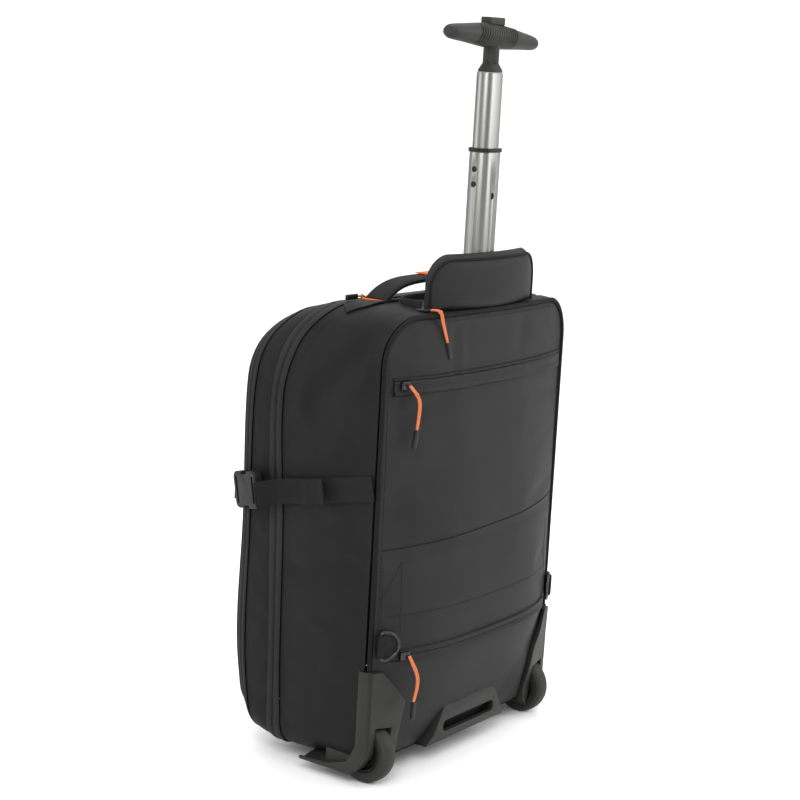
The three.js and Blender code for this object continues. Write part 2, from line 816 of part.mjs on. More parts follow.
// Wheel housings: a pod round the wheel, a cover that follows the panel and a skid along the side.
// The cover's edge is given from the top down, by its reach in from the bag's side and its level.
const coverEdge = [
  { reach: 14, level: 127 },
  { reach: 34, level: 104 },
  { reach: 46, level: 90 },
  { reach: 46, level: 60 },
  { reach: 49, level: 36 },
  { reach: 42, level: 18 },
];

function makeHousing() {
  const edge = bagHalf + skidThickness;
  const cover = toSolid(throughY(polygon([
    [edge, housingTop], ...coverEdge.map(({ reach, level }) => [bagHalf - reach, level]), [edge, housingFoot],
  ]), -far, pipingRadius)).subtract(toSolid(panelSheet(seamGap, -far)));
  const podDepth = podBack + far;
  const podHeight = podTop - housingFoot;
  const pod = toSolid(box(podOuter - podInner, podDepth, podHeight, (podInner + podOuter) / 2,
    podBack - podDepth / 2, podTop - podHeight / 2));
  const front = pipingRadius * 3;
  const side = toSolid(throughX(polygon([
    [-far, housingTop], [front, housingTop], [front, bagBase * 2.3],
    [podBack * 0.36, bagBase * 1.3], [podBack * 0.85, bagBase * 0.9], [skidReach, bagBase * 0.8],
    [skidReach, bagBase * 0.65], [podBack * 0.3, housingFoot], [-far, housingFoot],
  ]), bagHalf + seamGap, edge));
  const facing = toSolid(domedSheet(
    bagRows[0], -wheelRadius, panelShares, (x, z) => domeAt(x, z) - housingFace, () => far,
  ));
  const archRadius = wheelRadius + wheelTreadGap;
  const arch = new THREE.CylinderGeometry(archRadius, archRadius, wheelSlotHalf * 2, 20)
    .rotateZ(Math.PI / 2).translate(wheelCentre, axleDepth, wheelRadius);
  const below = box(wheelSlotHalf * 2, archRadius * 2, wheelRadius * 2, wheelCentre, axleDepth, 0);
  const boreLength = bagHalf - axleStart + seamGap;
  const bore = new THREE.CylinderGeometry(axleRadius + seamGap, axleRadius + seamGap, boreLength, 12)
    .rotateZ(Math.PI / 2).translate(axleStart - seamGap + boreLength / 2, axleDepth, wheelRadius);
  const heel = throughX(polygon([
    [-far, wheelRadius * 1.4], [-housingFace * 2, wheelRadius * 1.4], [-housingFace, wheelRadius],
    [axleDepth * 0.4, wheelRadius * 0.6], [axleDepth * 1.4, housingFoot], [axleDepth * 1.4, -far],
    [-far, -far],
  ]), wheelCentre, far);
  const corner = throughZ(polygon([
    [edge + 1, -housingFace + housingRound], [edge, -housingFace + housingRound],
    [edge - housingRound * 0.3, -housingFace + housingRound * 0.3],
    [edge - housingRound, -housingFace], [edge - housingRound, -far], [edge + 1, -far],
  ]), -far, far);
  return fromSolid([arch, below, bore, heel, corner].reduce(
    (solid, hole) => solid.subtract(toSolid(hole)), cover.add(pod).add(side).intersect(facing),
  ));
}

function makeAxle() {
  const length = podOuter - axleStart;
  return new THREE.CylinderGeometry(axleRadius, axleRadius, length, 12)
    .rotateZ(Math.PI / 2).translate(axleStart + length / 2, axleDepth, wheelRadius);
}

function turned(profile, segments) {
  const points = profile.map(([radius, along]) => new THREE.Vector2(radius, along));
  return new THREE.LatheGeometry([...points, points[0]], segments).rotateZ(-Math.PI / 2)
    .translate(wheelCentre, axleDepth, wheelRadius);
}

function makeHub() {
  const bore = axleRadius + runningGap;
  const half = hubWidth / 2;
  const web = half * 0.45;
  return turned([
    [bore, -half], [bore * 2.2, -half], [bore * 2.2, -web],
    [hubRadius * 0.78, -web], [hubRadius * 0.84, -half], [hubRadius, -half],
    [hubRadius, half], [hubRadius * 0.84, half], [hubRadius * 0.78, web],
    [bore * 2.2, web], [bore * 2.2, half], [bore, half],
  ], 14);
}

function makeTyre() {
  const half = wheelWidth / 2;
  const seat = hubRadius + seamGap;
  const shoulder = wheelRadius * 0.93;
  return turned([
    [seat, -half * 0.9], [shoulder, -half], [wheelRadius, -half * 0.6],
    [wheelRadius, half * 0.6], [shoulder, half], [seat, half * 0.9],
  ], 22);
}

// The moulded carry plate under the panel, with a hand slot

function makeGrabPlate() {
  const shape = polygon([
    [-plateHalf, plateFoot], [plateHalf, plateFoot], [plateHalf * 0.83, plateFoot + 18],
    [plateHalf * 0.7, plateTop - 7], [plateHalf * 0.58, plateTop], [-plateHalf * 0.58, plateTop],
    [-plateHalf * 0.7, plateTop - 7], [-plateHalf * 0.83, plateFoot + 18],
  ]);
  const slotHeight = slotHigh - slotLow;
  const slot = throughY(roundedShape(slotHalf, slotHeight / 2, slotHeight * 0.45), -far, far)
    .translate(0, 0, (slotHigh + slotLow) / 2);
  const block = toSolid(throughY(shape, -plateFace, pipingRadius));
  const body = block.subtract(toSolid(panelSheet(seamGap, -far)));
  const under = toSolid(panelSheet(padWall * 2.2, -far)).intersect(
    toSolid(box(slotHalf * 2, far, far, 0, 0, slotHigh - far / 2)),
  );
  const lean = toSolid(throughX(polygon([
    [-plateFace - 1, plateTop + 1], [-plateFace + 3, plateTop + 1], [-plateFace, plateTop - 6],
    [-plateFace, plateFoot + 12],
    [-plateFace * 0.75, plateFoot - 1], [-plateFace - 1, plateFoot - 1],
  ]), -far, far));
  return fromSolid(body.subtract(toSolid(slot)).subtract(under).subtract(lean));
}

function makeFoot() {
  const x = bagHalf - footFromSide;
  const end = footFromBack + footDepth;
  const block = throughX(polygon([
    [footFromBack, bagBase * 1.5], [footFromBack, bagBase * 0.4], [footFromBack + footDepth * 0.2, 0],
    [end - footDepth * 0.2, 0], [end, bagBase * 0.4], [end, bagBase * 1.5],
  ]), x - footHalf, x + footHalf);
  const bag = skin([0, 1, 2, 3, 3.5, 4, 5].map((t) => {
    const seam = outline(rowAt(t), 0);
    const loop = outline(rowAt(t), -bandRise - seamGap);
    return loop.map(([px, pz], i) => new THREE.Vector3(px, depthAt(t, ...seam[i]), pz));
  }), false);
  return fromSolid(toSolid(block).subtract(toSolid(bag)));
}

// Trolley tubes, collar and grip

function ovalTube(long, short, wall, low, high) {
  const shape = ovalShape(long, short);
  const bore = ovalShape(long - 2 * wall, short - 2 * wall).getPoints(arcSteps).reverse();
  shape.holes.push(new THREE.Path(bore));
  return throughZ(shape, low, high).translate(0, trolleyDepth, 0);
}

function makeOuterStage() {
  const tubeSolid = toSolid(ovalTube(outerLong, outerShort, tubeWall, outerTop - outerLength, outerTop));
  const lock = new THREE.CylinderGeometry(lockHole, lockHole, outerShort, 10)
    .translate(0, trolleyDepth - outerShort / 2, lockLevel);
  const seats = Object.values(rivetLevels).map((level) => new THREE.CylinderGeometry(
    rivetRadius + seamGap, rivetRadius + seamGap, outerLong / 2, 12,
  ).rotateZ(Math.PI / 2).translate(-outerLong / 2, trolleyDepth, outerTop - level));
  return fromSolid([lock, ...seats].reduce((solid, hole) => solid.subtract(toSolid(hole)), tubeSolid));
}

function makeCollar() {
  const low = outerTop + seamGap;
  const inside = (outerLong - innerLong) / 2 + collarRim - runningGap;
  return ovalTube(outerLong + 2 * collarRim, outerShort + 2 * collarRim, inside, low, low + collarHeight);
}

function makeRivet(level) {
  return new THREE.CylinderGeometry(rivetRadius, rivetRadius, tubeWall, 12).rotateZ(Math.PI / 2)
    .translate(-outerLong / 2 + tubeWall / 2 - rivetProud, trolleyDepth, outerTop - level);
}

function makeInnerStage() {
  return ovalTube(innerLong, innerShort, tubeWall, innerTop - innerLength, innerTop);
}

function gripSection(x, height, depth, rise) {
  return Array.from({ length: 10 }, (unused, k) => {
    const turn = (k / 10) * 2 * Math.PI;
    const round = (value) => Math.sign(value) * Math.abs(value) ** 0.75;
    return new THREE.Vector3(x, trolleyDepth + (depth / 2) * round(Math.cos(turn)),
      gripLevel + rise + (height / 2) * round(Math.sin(turn)));
  });
}

function makeGrip() {
  const table = [
    { at: -1, high: 0.24, deep: 0.35 },
    { at: -0.98, high: 0.4, deep: 0.58 },
    { at: -0.92, high: 0.49, deep: 0.72 },
    { at: -0.68, high: 0.62, deep: 0.88 },
    { at: -0.42, high: 0.82, deep: 0.96 },
    { at: -0.2, high: 1, deep: 1 },
  ];
  const both = [...table, ...table.slice().reverse().map((row) => ({ ...row, at: -row.at }))];
  const bar = toSolid(skin(both.map((row) => gripSection(
    row.at * gripHalf, row.high * gripHeight, row.deep * gripDepth,
    -gripDroop * row.at ** 2 - row.at * gripHalf * Math.sin(gripTilt * degree),
  )), false));
  const neckFoot = innerTop + seamGap;
  const coneTop = neckFoot + coneHeight;
  const neck = new THREE.CylinderGeometry(neckRadius, neckRadius, neckHeight + gripHeight / 2, 16)
    .rotateX(Math.PI / 2).translate(0, trolleyDepth, coneTop + (neckHeight + gripHeight / 2) / 2 - seamGap);
  const ring = (long, short, z) => ovalShape(long, short).getPoints(3).slice(0, -1)
    .map((p) => new THREE.Vector3(p.x, trolleyDepth + p.y, z));
  const cone = skin([
    ring(innerLong + 2 * coneRim, innerShort + 2 * coneRim, neckFoot),
    ring(innerLong + 2 * coneRim, innerShort + 2 * coneRim, neckFoot + coneHeight * 0.2),
    ring(neckRadius * 2.1, neckRadius * 1.9, coneTop),
  ], false);
  const pocket = box(buttonLength + 2 * seamGap, buttonDepth + 2 * seamGap, buttonHeight, 0, trolleyDepth,
    gripLevel + gripHeight / 2 + buttonProud - buttonHeight / 2 - seamGap - buttonTravel);
  return fromSolid(bar.add(toSolid(neck)).add(toSolid(cone)).subtract(toSolid(pocket)));
}

function makeButton() {
  const top = gripLevel + gripHeight / 2 + buttonProud;
  const shape = roundedShape(buttonLength / 2, buttonDepth / 2, 2.5);
  return throughZ(shape, top - buttonHeight, top, 2).translate(0, trolleyDepth, 0);
}

// Zip sliders with cord pulls. Each table row is one zip: the slider's place, the cord's two
// further points and the direction of the moulded tip.
const zips = [
  {
    name: 'upper', slider: [-upperZipHalf + 12, upperZipHeight + upperZipWidth * 0.6],
    cord: [[11, -5, -17], [9, -5, -46]], tip: [-4, 0, -19],
  },
  {
    name: 'lower', slider: [-lowerZipHalf + 4, lowerZipHeight + lowerZipWidth * 0.5],
    cord: [[6, -8, -24], [1, -8, -48]], tip: [-1, 0, -19],
  },
];

function placeSlider(spot, surface) {
  const lift = zipTape + 2 * seamGap + sliderThickness / 2;
  const slope = domeAt(spot[0] + 1, spot[1]) - domeAt(spot[0], spot[1]);
  const body = new THREE.BoxGeometry(sliderLength, sliderThickness, sliderWidth).rotateZ(Math.atan(slope));
  return body.translate(spot[0], surface - lift * 1.15, spot[1]);
}

function tipAt(end, direction) {
  const along = new THREE.Vector3(...direction).normalize();
  const side = new THREE.Vector3(0, 1, 0).cross(along).normalize();
  const out = along.clone().cross(side);
  const geometry = new THREE.BoxGeometry(tipWidth, tipThickness, tipLength);
  geometry.applyMatrix4(new THREE.Matrix4().makeBasis(side, out, along));
  const centre = new THREE.Vector3(...end).addScaledVector(along, tipLength / 2 + seamGap);
  return geometry.translate(centre.x, centre.y, centre.z);
}

// The assembly

const backpack = new THREE.Group();

function add(name, geometry, colour, roughness, metalness = 0) {
  const material = new THREE.MeshStandardMaterial({ color: colour, roughness, metalness });
  const mesh = new THREE.Mesh(geometry, material);
  mesh.name = name;
  backpack.add(mesh);
}

function addPair(name, geometry, colour, roughness, metalness = 0) {
  add(`${name}_left`, geometry, colour, roughness, metalness);
  add(`${name}_right`, mirrored(geometry), colour, roughness, metalness);
}

add('back_panel', makeBackPanel(), colours.panel, 0.6);
add('back_piping', makePiping(), colours.tape, 0.6);
add('main_gusset', makeMainGusset(), colours.fabric, 0.6);
add('main_zip_band', makeBand(2, 3), colours.panel, 0.55);
add('front_gusset', makeFrontGusset(), colours.fabric, 0.6);
add('front_zip_band', makeBand(4, 5), colours.panel, 0.55);
add('front_panel', makeFrontPanel(), colours.panel, 0.6);
add('upper_zip_strip', zipStrip(upperZipHalf, upperZipHeight, upperZipWidth), colours.tape, 0.5);
add('lower_zip_strip', zipStrip(lowerZipHalf, lowerZipHeight, lowerZipWidth), colours.tape, 0.5);
add('hood', makeHood(), colours.panel, 0.6);
add('trolley_well_rim', makeWellRim(), colours.tape, 0.6);
add('grab_handle', makeGrabHandle(), colours.tape, 0.8);
add('handle_anchor_left', makeAnchor(-1), colours.fabric, 0.6);
add('handle_anchor_right', makeAnchor(1), colours.fabric, 0.6);
add('handle_trim_left', makeTrim(-1), colours.orange, 0.7);
add('handle_trim_right', makeTrim(1), colours.orange, 0.7);
add('handle_top_trim', makeTopTrim(), colours.orange, 0.7);
addPair('side_strap', makeSideStrap(), colours.tape, 0.8);
addPair('buckle', makeBuckle(), colours.plastic, 0.4);
addPair('front_strap', makeFrontStrap(), colours.tape, 0.8);
addPair('d_ring', makeRing(), colours.steel, 0.3, 1);
addPair('d_ring_loop', makeRingLoop(), colours.tape, 0.8);
for (const [side, build] of [['right', (g) => g], ['left', mirrored]]) {
  add(`wheel_housing_${side}`, build(makeHousing()), colours.plastic, 0.5);
  add(`axle_${side}`, build(makeAxle()), colours.steel, 0.3, 1);
  add(`hub_${side}`, build(makeHub()), colours.plastic, 0.4);
  add(`tyre_${side}`, build(makeTyre()), colours.rubber, 0.7);
  add(`front_foot_${side}`, build(makeFoot()), colours.rubber, 0.7);
}
add('grab_plate', makeGrabPlate(), colours.plastic, 0.5);
add('trolley_channel', ovalTube(
  outerLong + 2 * (channelClear + channelWall), outerShort + 2 * (channelClear + channelWall), channelWall,
  channelFoot, bagTop - bezelHeight - seamGap,
), colours.metal, 0.4, 1);
add('trolley_bezel', ovalTube(
  outerLong + 2 * (channelClear + channelWall), outerShort + 2 * (channelClear + channelWall),
  channelClear + channelWall - runningGap, bagTop - bezelHeight, bagTop,
), colours.plastic, 0.5);
add('outer_stage', makeOuterStage(), colours.metal, 0.35, 1);
add('outer_collar', makeCollar(), colours.plastic, 0.4);
add('stage_rivet_high', makeRivet(rivetLevels.high), colours.plastic, 0.4);
add('stage_rivet_low', makeRivet(rivetLevels.low), colours.plastic, 0.4);
add('inner_stage', makeInnerStage(), colours.metal, 0.35, 1);
add('t_grip', makeGrip(), colours.plastic, 0.6);
add('push_button', makeButton(), colours.plastic, 0.5);

function addPull(name, start, cord, tip) {
  const points = [start, ...cord.map((step) => start.map((value, axis) => value + step[axis]))];
  add(`${name}_pull_cord`, tube(points, cordRadius, 6, 6), colours.orange, 0.8);
  add(`${name}_pull_tip`, tipAt(points[points.length - 1], tip), colours.plastic, 0.5);
}

for (const zip of zips) {
  const surface = domeAt(...zip.slider);
  add(`${zip.name}_zip_slider`, placeSlider(zip.slider, surface), colours.steel, 0.3, 1);
  const cordY = surface - zipTape - sliderThickness - 7 * seamGap - cordRadius;
  addPull(zip.name, [zip.slider[0] + 2, cordY, zip.slider[1]], zip.cord, zip.tip);
}

const hoodSlider = [-hoodHalf - sliderWidth, hoodGusset / 3, bagTop + seamGap + sliderThickness / 2];
const hoodCordY = hoodSlider[1] - sliderLength / 2 - cordRadius - seamGap;
const hoodSliderBlock = box(sliderWidth, sliderLength, sliderThickness, ...hoodSlider);
add('hood_zip_slider', hoodSliderBlock, colours.steel, 0.3, 1);
addPull('hood', [hoodSlider[0] + 3, hoodCordY, hoodSlider[2] + 1],
  [[2, -10, -1], [6, -12, -14], [17, -11, -34]], [7, 0, -19]);

const topSlider = [
  -handleHalf + 14, handleDepth + handleWidth / 2 + 8, bagTop + bandRise + seamGap + sliderThickness / 2,
];
const topSliderBlock = box(sliderLength, sliderWidth, sliderThickness, ...topSlider);
add('main_zip_slider', topSliderBlock, colours.steel, 0.3, 1);
addPull('main', [topSlider[0] - sliderLength / 2 - seamGap, topSlider[1], topSlider[2] + 1.5],
  [[-6, 0, 1], [-12, 0, 1]], [-1, 0, 0]);

const extent = new THREE.Box3().setFromObject(backpack);
const middle = extent.getCenter(new THREE.Vector3());
backpack.position.set(-middle.x, -middle.y, -extent.min.z);

export default backpack;
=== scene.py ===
import bpy
import bmesh
import json
import math
from mathutils import Matrix, Vector
from mathutils.bvhtree import BVHTree

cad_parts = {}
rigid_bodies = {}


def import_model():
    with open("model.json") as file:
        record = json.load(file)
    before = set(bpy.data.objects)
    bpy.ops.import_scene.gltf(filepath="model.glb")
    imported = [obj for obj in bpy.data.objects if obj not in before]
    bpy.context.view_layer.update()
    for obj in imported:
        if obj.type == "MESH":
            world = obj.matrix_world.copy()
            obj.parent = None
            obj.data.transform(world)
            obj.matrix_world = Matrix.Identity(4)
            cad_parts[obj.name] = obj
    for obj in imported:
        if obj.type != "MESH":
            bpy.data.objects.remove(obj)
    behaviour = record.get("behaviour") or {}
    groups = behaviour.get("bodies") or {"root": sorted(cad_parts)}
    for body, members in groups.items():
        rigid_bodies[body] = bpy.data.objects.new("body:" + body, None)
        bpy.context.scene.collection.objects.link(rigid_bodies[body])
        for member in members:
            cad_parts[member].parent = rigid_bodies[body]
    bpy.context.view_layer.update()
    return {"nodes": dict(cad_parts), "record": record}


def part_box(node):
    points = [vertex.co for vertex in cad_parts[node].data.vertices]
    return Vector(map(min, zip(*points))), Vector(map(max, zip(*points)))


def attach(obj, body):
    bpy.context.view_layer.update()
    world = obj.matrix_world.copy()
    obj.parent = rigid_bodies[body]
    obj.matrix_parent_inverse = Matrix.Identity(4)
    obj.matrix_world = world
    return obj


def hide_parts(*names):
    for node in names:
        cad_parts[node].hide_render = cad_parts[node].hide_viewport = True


for leftover in [o for o in bpy.data.objects if o.name in ("Cube", "Light", "Camera")]:
    bpy.data.objects.remove(leftover)
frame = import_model()

mm = 0.001


# camera and lights
camera = {
    "spot": (-1.6901, -1.1730, 0.7629),
    "azimuth": -54.73, "height": 10.48, "roll": 3.21,
    "lens": 84.69,
}


def makeCamera(c):
    a, e, r = (math.radians(c[k]) for k in ("azimuth", "height", "roll"))
    back = Vector((math.sin(a) * math.cos(e), -math.cos(a) * math.cos(e), math.sin(e)))
    right = Vector((0, 0, 1)).cross(back).normalized()
    up = back.cross(right)
    turnedRight = math.cos(r) * right + math.sin(r) * up
    turnedUp = -math.sin(r) * right + math.cos(r) * up
    data = bpy.data.cameras.new("photo_camera")
    data.lens = c["lens"]
    data.sensor_width = 36
    data.dof.use_dof = False
    ob = bpy.data.objects.new("photo_camera", data)
    place = Matrix((turnedRight, turnedUp, back)).transposed().to_4x4()
    place.translation = Vector(c["spot"])
    ob.matrix_world = place
    bpy.context.scene.collection.objects.link(ob)
    bpy.context.scene.camera = ob


def areaLight(name, spot, aim, size, power, tint=(1, 1, 1)):
    data = bpy.data.lights.new(name, "AREA")
    data.shape = "RECTANGLE"
    data.size, data.size_y = size
    data.energy = power
    data.color = tint
    ob = bpy.data.objects.new(name, data)
    ob.location = spot
    ob.rotation_euler = (Vector(aim) - Vector(spot)).to_track_quat("-Z", "Y").to_euler()
    bpy.context.scene.collection.objects.link(ob)


makeCamera(camera)
areaLight("key_window", (-2.2, -1.3, 2.3), (0, 0, 0.35), (1.6, 1.6), 62)
areaLight("side_window", (-1.9, 1.9, 1.3), (0, 0, 0.3), (1.2, 1.6), 22)
areaLight("back_window", (1.7, -1.9, 1.5), (0, 0, 0.35), (1.4, 1.4), 34)
areaLight("top_window", (0.2, 0.3, 2.6), (0, 0, 0.3), (1.8, 1.8), 26)

world = bpy.data.worlds.new("studio")
bpy.context.scene.world = world
world.use_nodes = True
world.node_tree.nodes["Background"].inputs["Color"].default_value = (0.95, 0.95, 0.95, 1)
world.node_tree.nodes["Background"].inputs["Strength"].default_value = 0.75
bpy.context.scene.view_settings.view_transform = "Standard"
print("camera and light done")


def linear(hexText):
    out = []
    for k in (0, 2, 4):
        c = int(hexText[k:k + 2], 16) / 255
        out.append(c / 12.92 if c <= 0.04045 else ((c + 0.055) / 1.055) ** 2.4)
    return (*out, 1)


def addNode(tree, kind, settings=None, **links):
    node = tree.nodes.new(kind)
    for key, value in (settings or {}).items():
        if isinstance(key, int) or key in node.inputs.keys():
            node.inputs[key].default_value = value
        else:
            setattr(node, key, value)
    for key, value in links.items():
        byNumber = key[0] == "i" and key[1:].isdigit()
        sock = node.inputs[int(key[1:]) if byNumber else key.replace("_", " ")]
        if isinstance(value, tuple):
            tree.links.new(value[0].outputs[value[1]], sock)
        else:
            tree.links.new(value.outputs[0], sock)
    return node


def newMaterial(name, **values):
    mat = bpy.data.materials.new(name)
    mat.use_nodes = True
    tree = mat.node_tree
    shader = tree.nodes["Principled BSDF"]
    for key, value in values.items():
        shader.inputs[key.replace("_", " ")].default_value = value
    return mat, tree, shader


def feed(shader, key, node):
    shader.id_data.links.new(node.outputs[0], shader.inputs[key])


def bumped(tree, strength, distance, height, **links):
    values = {"Strength": strength, "Distance": distance}
    return addNode(tree, "ShaderNodeBump", values, Height=height, **links)


def ranged(tree, low, high, factor):
    return addNode(tree, "ShaderNodeMapRange", {"To Min": low, "To Max": high}, i0=factor)


def tiled(tree, uv, size):
    return addNode(tree, "ShaderNodeMapping", {"Scale": (1 / size, 1 / size, 1 / size)}, i0=(uv, "UV"))


def paint(tree, shader, dark, light, factor):
    ramp = tree.nodes.new("ShaderNodeValToRGB")
    ramp.color_ramp.elements[0].color = linear(dark)
    ramp.color_ramp.elements[1].color = linear(light)
    ramp.color_ramp.elements[0].position = 0.25
    ramp.color_ramp.elements[1].position = 0.75
    tree.links.new(factor.outputs[0], ramp.inputs["Fac"])
    feed(shader, "Base Color", ramp)


# polyurethane-coated polyester: close plain weave under a smooth coat, soft broad gloss
def coatedPolyester(name, dark, light, thread, roughness, weaveDepth):
    mat, tree, shader = newMaterial(name, Roughness=roughness, Specular_IOR_Level=0.13)
    uv = addNode(tree, "ShaderNodeTexCoord")
    spread = tiled(tree, uv, thread)
    wave = {"wave_type": "BANDS", "Scale": 0.3142, "Distortion": 0.6, "Detail": 1.0}
    across = addNode(tree, "ShaderNodeTexWave", {**wave, "bands_direction": "X"}, i0=spread)
    along = addNode(tree, "ShaderNodeTexWave", {**wave, "bands_direction": "Y"}, i0=spread)
    weave = addNode(tree, "ShaderNodeMath", {"operation": "MULTIPLY"}, i0=(across, "Fac"), i1=(along, "Fac"))
    cloud = addNode(tree, "ShaderNodeTexNoise", {"Scale": 16.0, "Detail": 4.0}, i0=(uv, "Object"))
    paint(tree, shader, dark, light, cloud)
    feed(shader, "Roughness", ranged(tree, roughness - 0.05, roughness + 0.08, cloud))
    fine = bumped(tree, weaveDepth, 0.0003, weave)
    wide = addNode(tree, "ShaderNodeTexNoise", {"Scale": 34.0, "Detail": 3.0, "Roughness": 0.6},
                   i0=(uv, "Object"))
    soft = bumped(tree, 0.12, 0.002, wide, Normal=fine)
    feed(shader, "Normal", soft)
    return mat


# nylon webbing: ribs across the strap, a fine herringbone along it
def nylonWebbing(name, dark, light, rib):
    mat, tree, shader = newMaterial(name, Roughness=0.72, Specular_IOR_Level=0.14)
    uv = addNode(tree, "ShaderNodeTexCoord")
    spread = tiled(tree, uv, rib)
    ribs = addNode(tree, "ShaderNodeTexWave", {
        "wave_type": "BANDS", "bands_direction": "X", "Scale": 0.3142, "Distortion": 0.15}, i0=spread)
    cross = addNode(tree, "ShaderNodeTexWave", {
        "wave_type": "BANDS", "bands_direction": "DIAGONAL", "Scale": 0.5, "Distortion": 0.2}, i0=spread)
    both = addNode(tree, "ShaderNodeMath", {"operation": "ADD"}, i0=(ribs, "Fac"), i1=(cross, "Fac"))
    half = addNode(tree, "ShaderNodeMath", {"operation": "MULTIPLY", 1: 0.5}, i0=both)
    paint(tree, shader, dark, light, half)
    feed(shader, "Normal", bumped(tree, 0.75, 0.0006, half))
    return mat


# coil zip under its tape: teeth 1.8 mm apart along the middle line
def coilZip(name, dark, light, tooth):
    mat, tree, shader = newMaterial(name, Roughness=0.42, Specular_IOR_Level=0.25)
    uv = addNode(tree, "ShaderNodeTexCoord")
    spread = tiled(tree, uv, tooth)
    teeth = addNode(tree, "ShaderNodeTexWave", {
        "wave_type": "BANDS", "bands_direction": "X", "Scale": 0.3142, "Distortion": 0.0}, i0=spread)
    paint(tree, shader, dark, light, teeth)
    feed(shader, "Normal", bumped(tree, 0.9, 0.0006, teeth))
    return mat


# moulded ABS: spark-eroded grain, faint mottle, softly rubbed
def mouldedAbs(name, dark, light, grain, roughness):
    mat, tree, shader = newMaterial(name, Roughness=roughness, Specular_IOR_Level=0.26)
    spot = addNode(tree, "ShaderNodeTexCoord")
    mottle = addNode(tree, "ShaderNodeTexNoise", {"Scale": 28.0, "Detail": 5.0}, i0=(spot, "Object"))
    paint(tree, shader, dark, light, mottle)
    feed(shader, "Roughness", ranged(tree, roughness - 0.07, roughness + 0.07, mottle))
    pits = addNode(tree, "ShaderNodeTexNoise", {"Scale": 1 / grain, "Detail": 2.0}, i0=(spot, "Object"))
    feed(shader, "Normal", bumped(tree, 0.22, 0.0003, pits))
    return mat


# anodised aluminium tube: drawn lengthwise, so fine long streaks and a stretched highlight
def anodisedAluminium(name, dark, light):
    mat, tree, shader = newMaterial(name, Metallic=1.0, Roughness=0.34)
    spot = addNode(tree, "ShaderNodeTexCoord")
    stretch = addNode(tree, "ShaderNodeMapping", {"Scale": (900, 900, 6)}, i0=(spot, "Object"))
    streaks = addNode(tree, "ShaderNodeTexNoise", {"Scale": 1.0, "Detail": 3.0}, i0=stretch)
    paint(tree, shader, dark, light, streaks)
    feed(shader, "Roughness", ranged(tree, 0.28, 0.44, streaks))
    feed(shader, "Normal", bumped(tree, 0.08, 0.0002, streaks))
    return mat


# dark nickel-plated steel wire: small handling marks
def platedSteel(name, dark, light):
    mat, tree, shader = newMaterial(name, Metallic=1.0, Roughness=0.3)
    spot = addNode(tree, "ShaderNodeTexCoord")
    marks = addNode(tree, "ShaderNodeTexNoise", {"Scale": 300.0, "Detail": 4.0}, i0=(spot, "Object"))
    paint(tree, shader, dark, light, marks)
    feed(shader, "Roughness", ranged(tree, 0.2, 0.42, marks))
    return mat


# braided polyester cord, strands crossing on the slant
def braidedCord(name, dark, light, strand):
    mat, tree, shader = newMaterial(name, Roughness=0.75, Sheen_Weight=0.3, Sheen_Roughness=0.4)
    uv = addNode(tree, "ShaderNodeTexCoord")
    spread = tiled(tree, uv, strand)
    wave = {"wave_type": "BANDS", "bands_direction": "DIAGONAL", "Scale": 0.36, "Distortion": 0.4}
    slant = addNode(tree, "ShaderNodeTexWave", wave, i0=spread)
    paint(tree, shader, dark, light, slant)
    feed(shader, "Normal", bumped(tree, 0.8, 0.0005, slant))
    return mat


finishes = {
    "panelCloth": coatedPolyester("coated_polyester_panel", "1d1d1d", "272727", 0.0011, 0.56, 0.3),
    "sideCloth": coatedPolyester("coated_polyester_side", "0f0f0f", "171717", 0.0011, 0.56, 0.3),
    "bandCloth": coatedPolyester("coated_polyester_band", "1a1a1a", "242424", 0.0012, 0.55, 0.3),
    "bindingTape": nylonWebbing("woven_binding_tape", "0c0c0c", "171717", 0.0012),
    "webbing": nylonWebbing("nylon_webbing", "101010", "1e1e1e", 0.0016),
    # the coil's near-black colours are partly the coil's own and partly painted shade, darkened so the zip
    # groove reads dark
    "zipCoilWithGrooveShade": coilZip("nylon_coil_zip", "080808", "1a1a1a", 0.0018),
    "stitchThread": nylonWebbing("bonded_nylon_thread", "141516", "222325", 0.0008),
    "abs": mouldedAbs("moulded_abs", "1d1d1c", "262624", 0.0004, 0.52),
    "absDark": mouldedAbs("moulded_abs_dark", "0e0e0d", "181817", 0.0004, 0.5),
    "gripPlastic": mouldedAbs("soft_touch_grip", "20211e", "2a2b27", 0.0005, 0.56),
    "tyreRubber": mouldedAbs("polyurethane_tyre", "1f1f1e", "2a2a28", 0.0006, 0.6),
    "footRubber": mouldedAbs("moulded_rubber_foot", "1f1f1f", "2b2b2a", 0.0006, 0.75),
    "aluminium": anodisedAluminium("anodised_aluminium", "777775", "8b8b88"),
    "steel": platedSteel("plated_steel", "303134", "47484b"),
    "orangeCord": braidedCord("braided_polyester_cord", "b9501c", "dd7834", 0.0012),
    "orangeTape": nylonWebbing("orange_binding_tape", "b9531f", "de7a38", 0.0012),
}
print("materials done")


bodyOf = {}
for bodyName, body in frame["record"]["behaviour"]["bodies"].items():
    for nodeName in body:
        bodyOf[nodeName] = bodyName


def finishPiece(ob, finish, nodes=(), body=None, smooth=38):
    ob.data.materials.clear()
    for key in ([finish] if isinstance(finish, str) else finish):
        ob.data.materials.append(finishes[key])
    if smooth:
        bpy.ops.object.select_all(action="DESELECT")
        ob.select_set(True)
        bpy.context.view_layer.objects.active = ob
        bpy.ops.object.shade_smooth_by_angle(angle=math.radians(smooth))
    if nodes:
        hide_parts(*nodes)
    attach(ob, body or bodyOf[nodes[0]])
    return ob


def meshPiece(name, points, faces, uvs=None):
    data = bpy.data.meshes.new(name)
    data.from_pydata(points, [], faces)
    if uvs:
        layer = data.uv_layers.new(name="cloth")
        for loop in data.loops:
            layer.data[loop.index].uv = uvs[loop.vertex_index]
    ob = bpy.data.objects.new(name, data)
    bpy.context.scene.collection.objects.link(ob)
    return ob


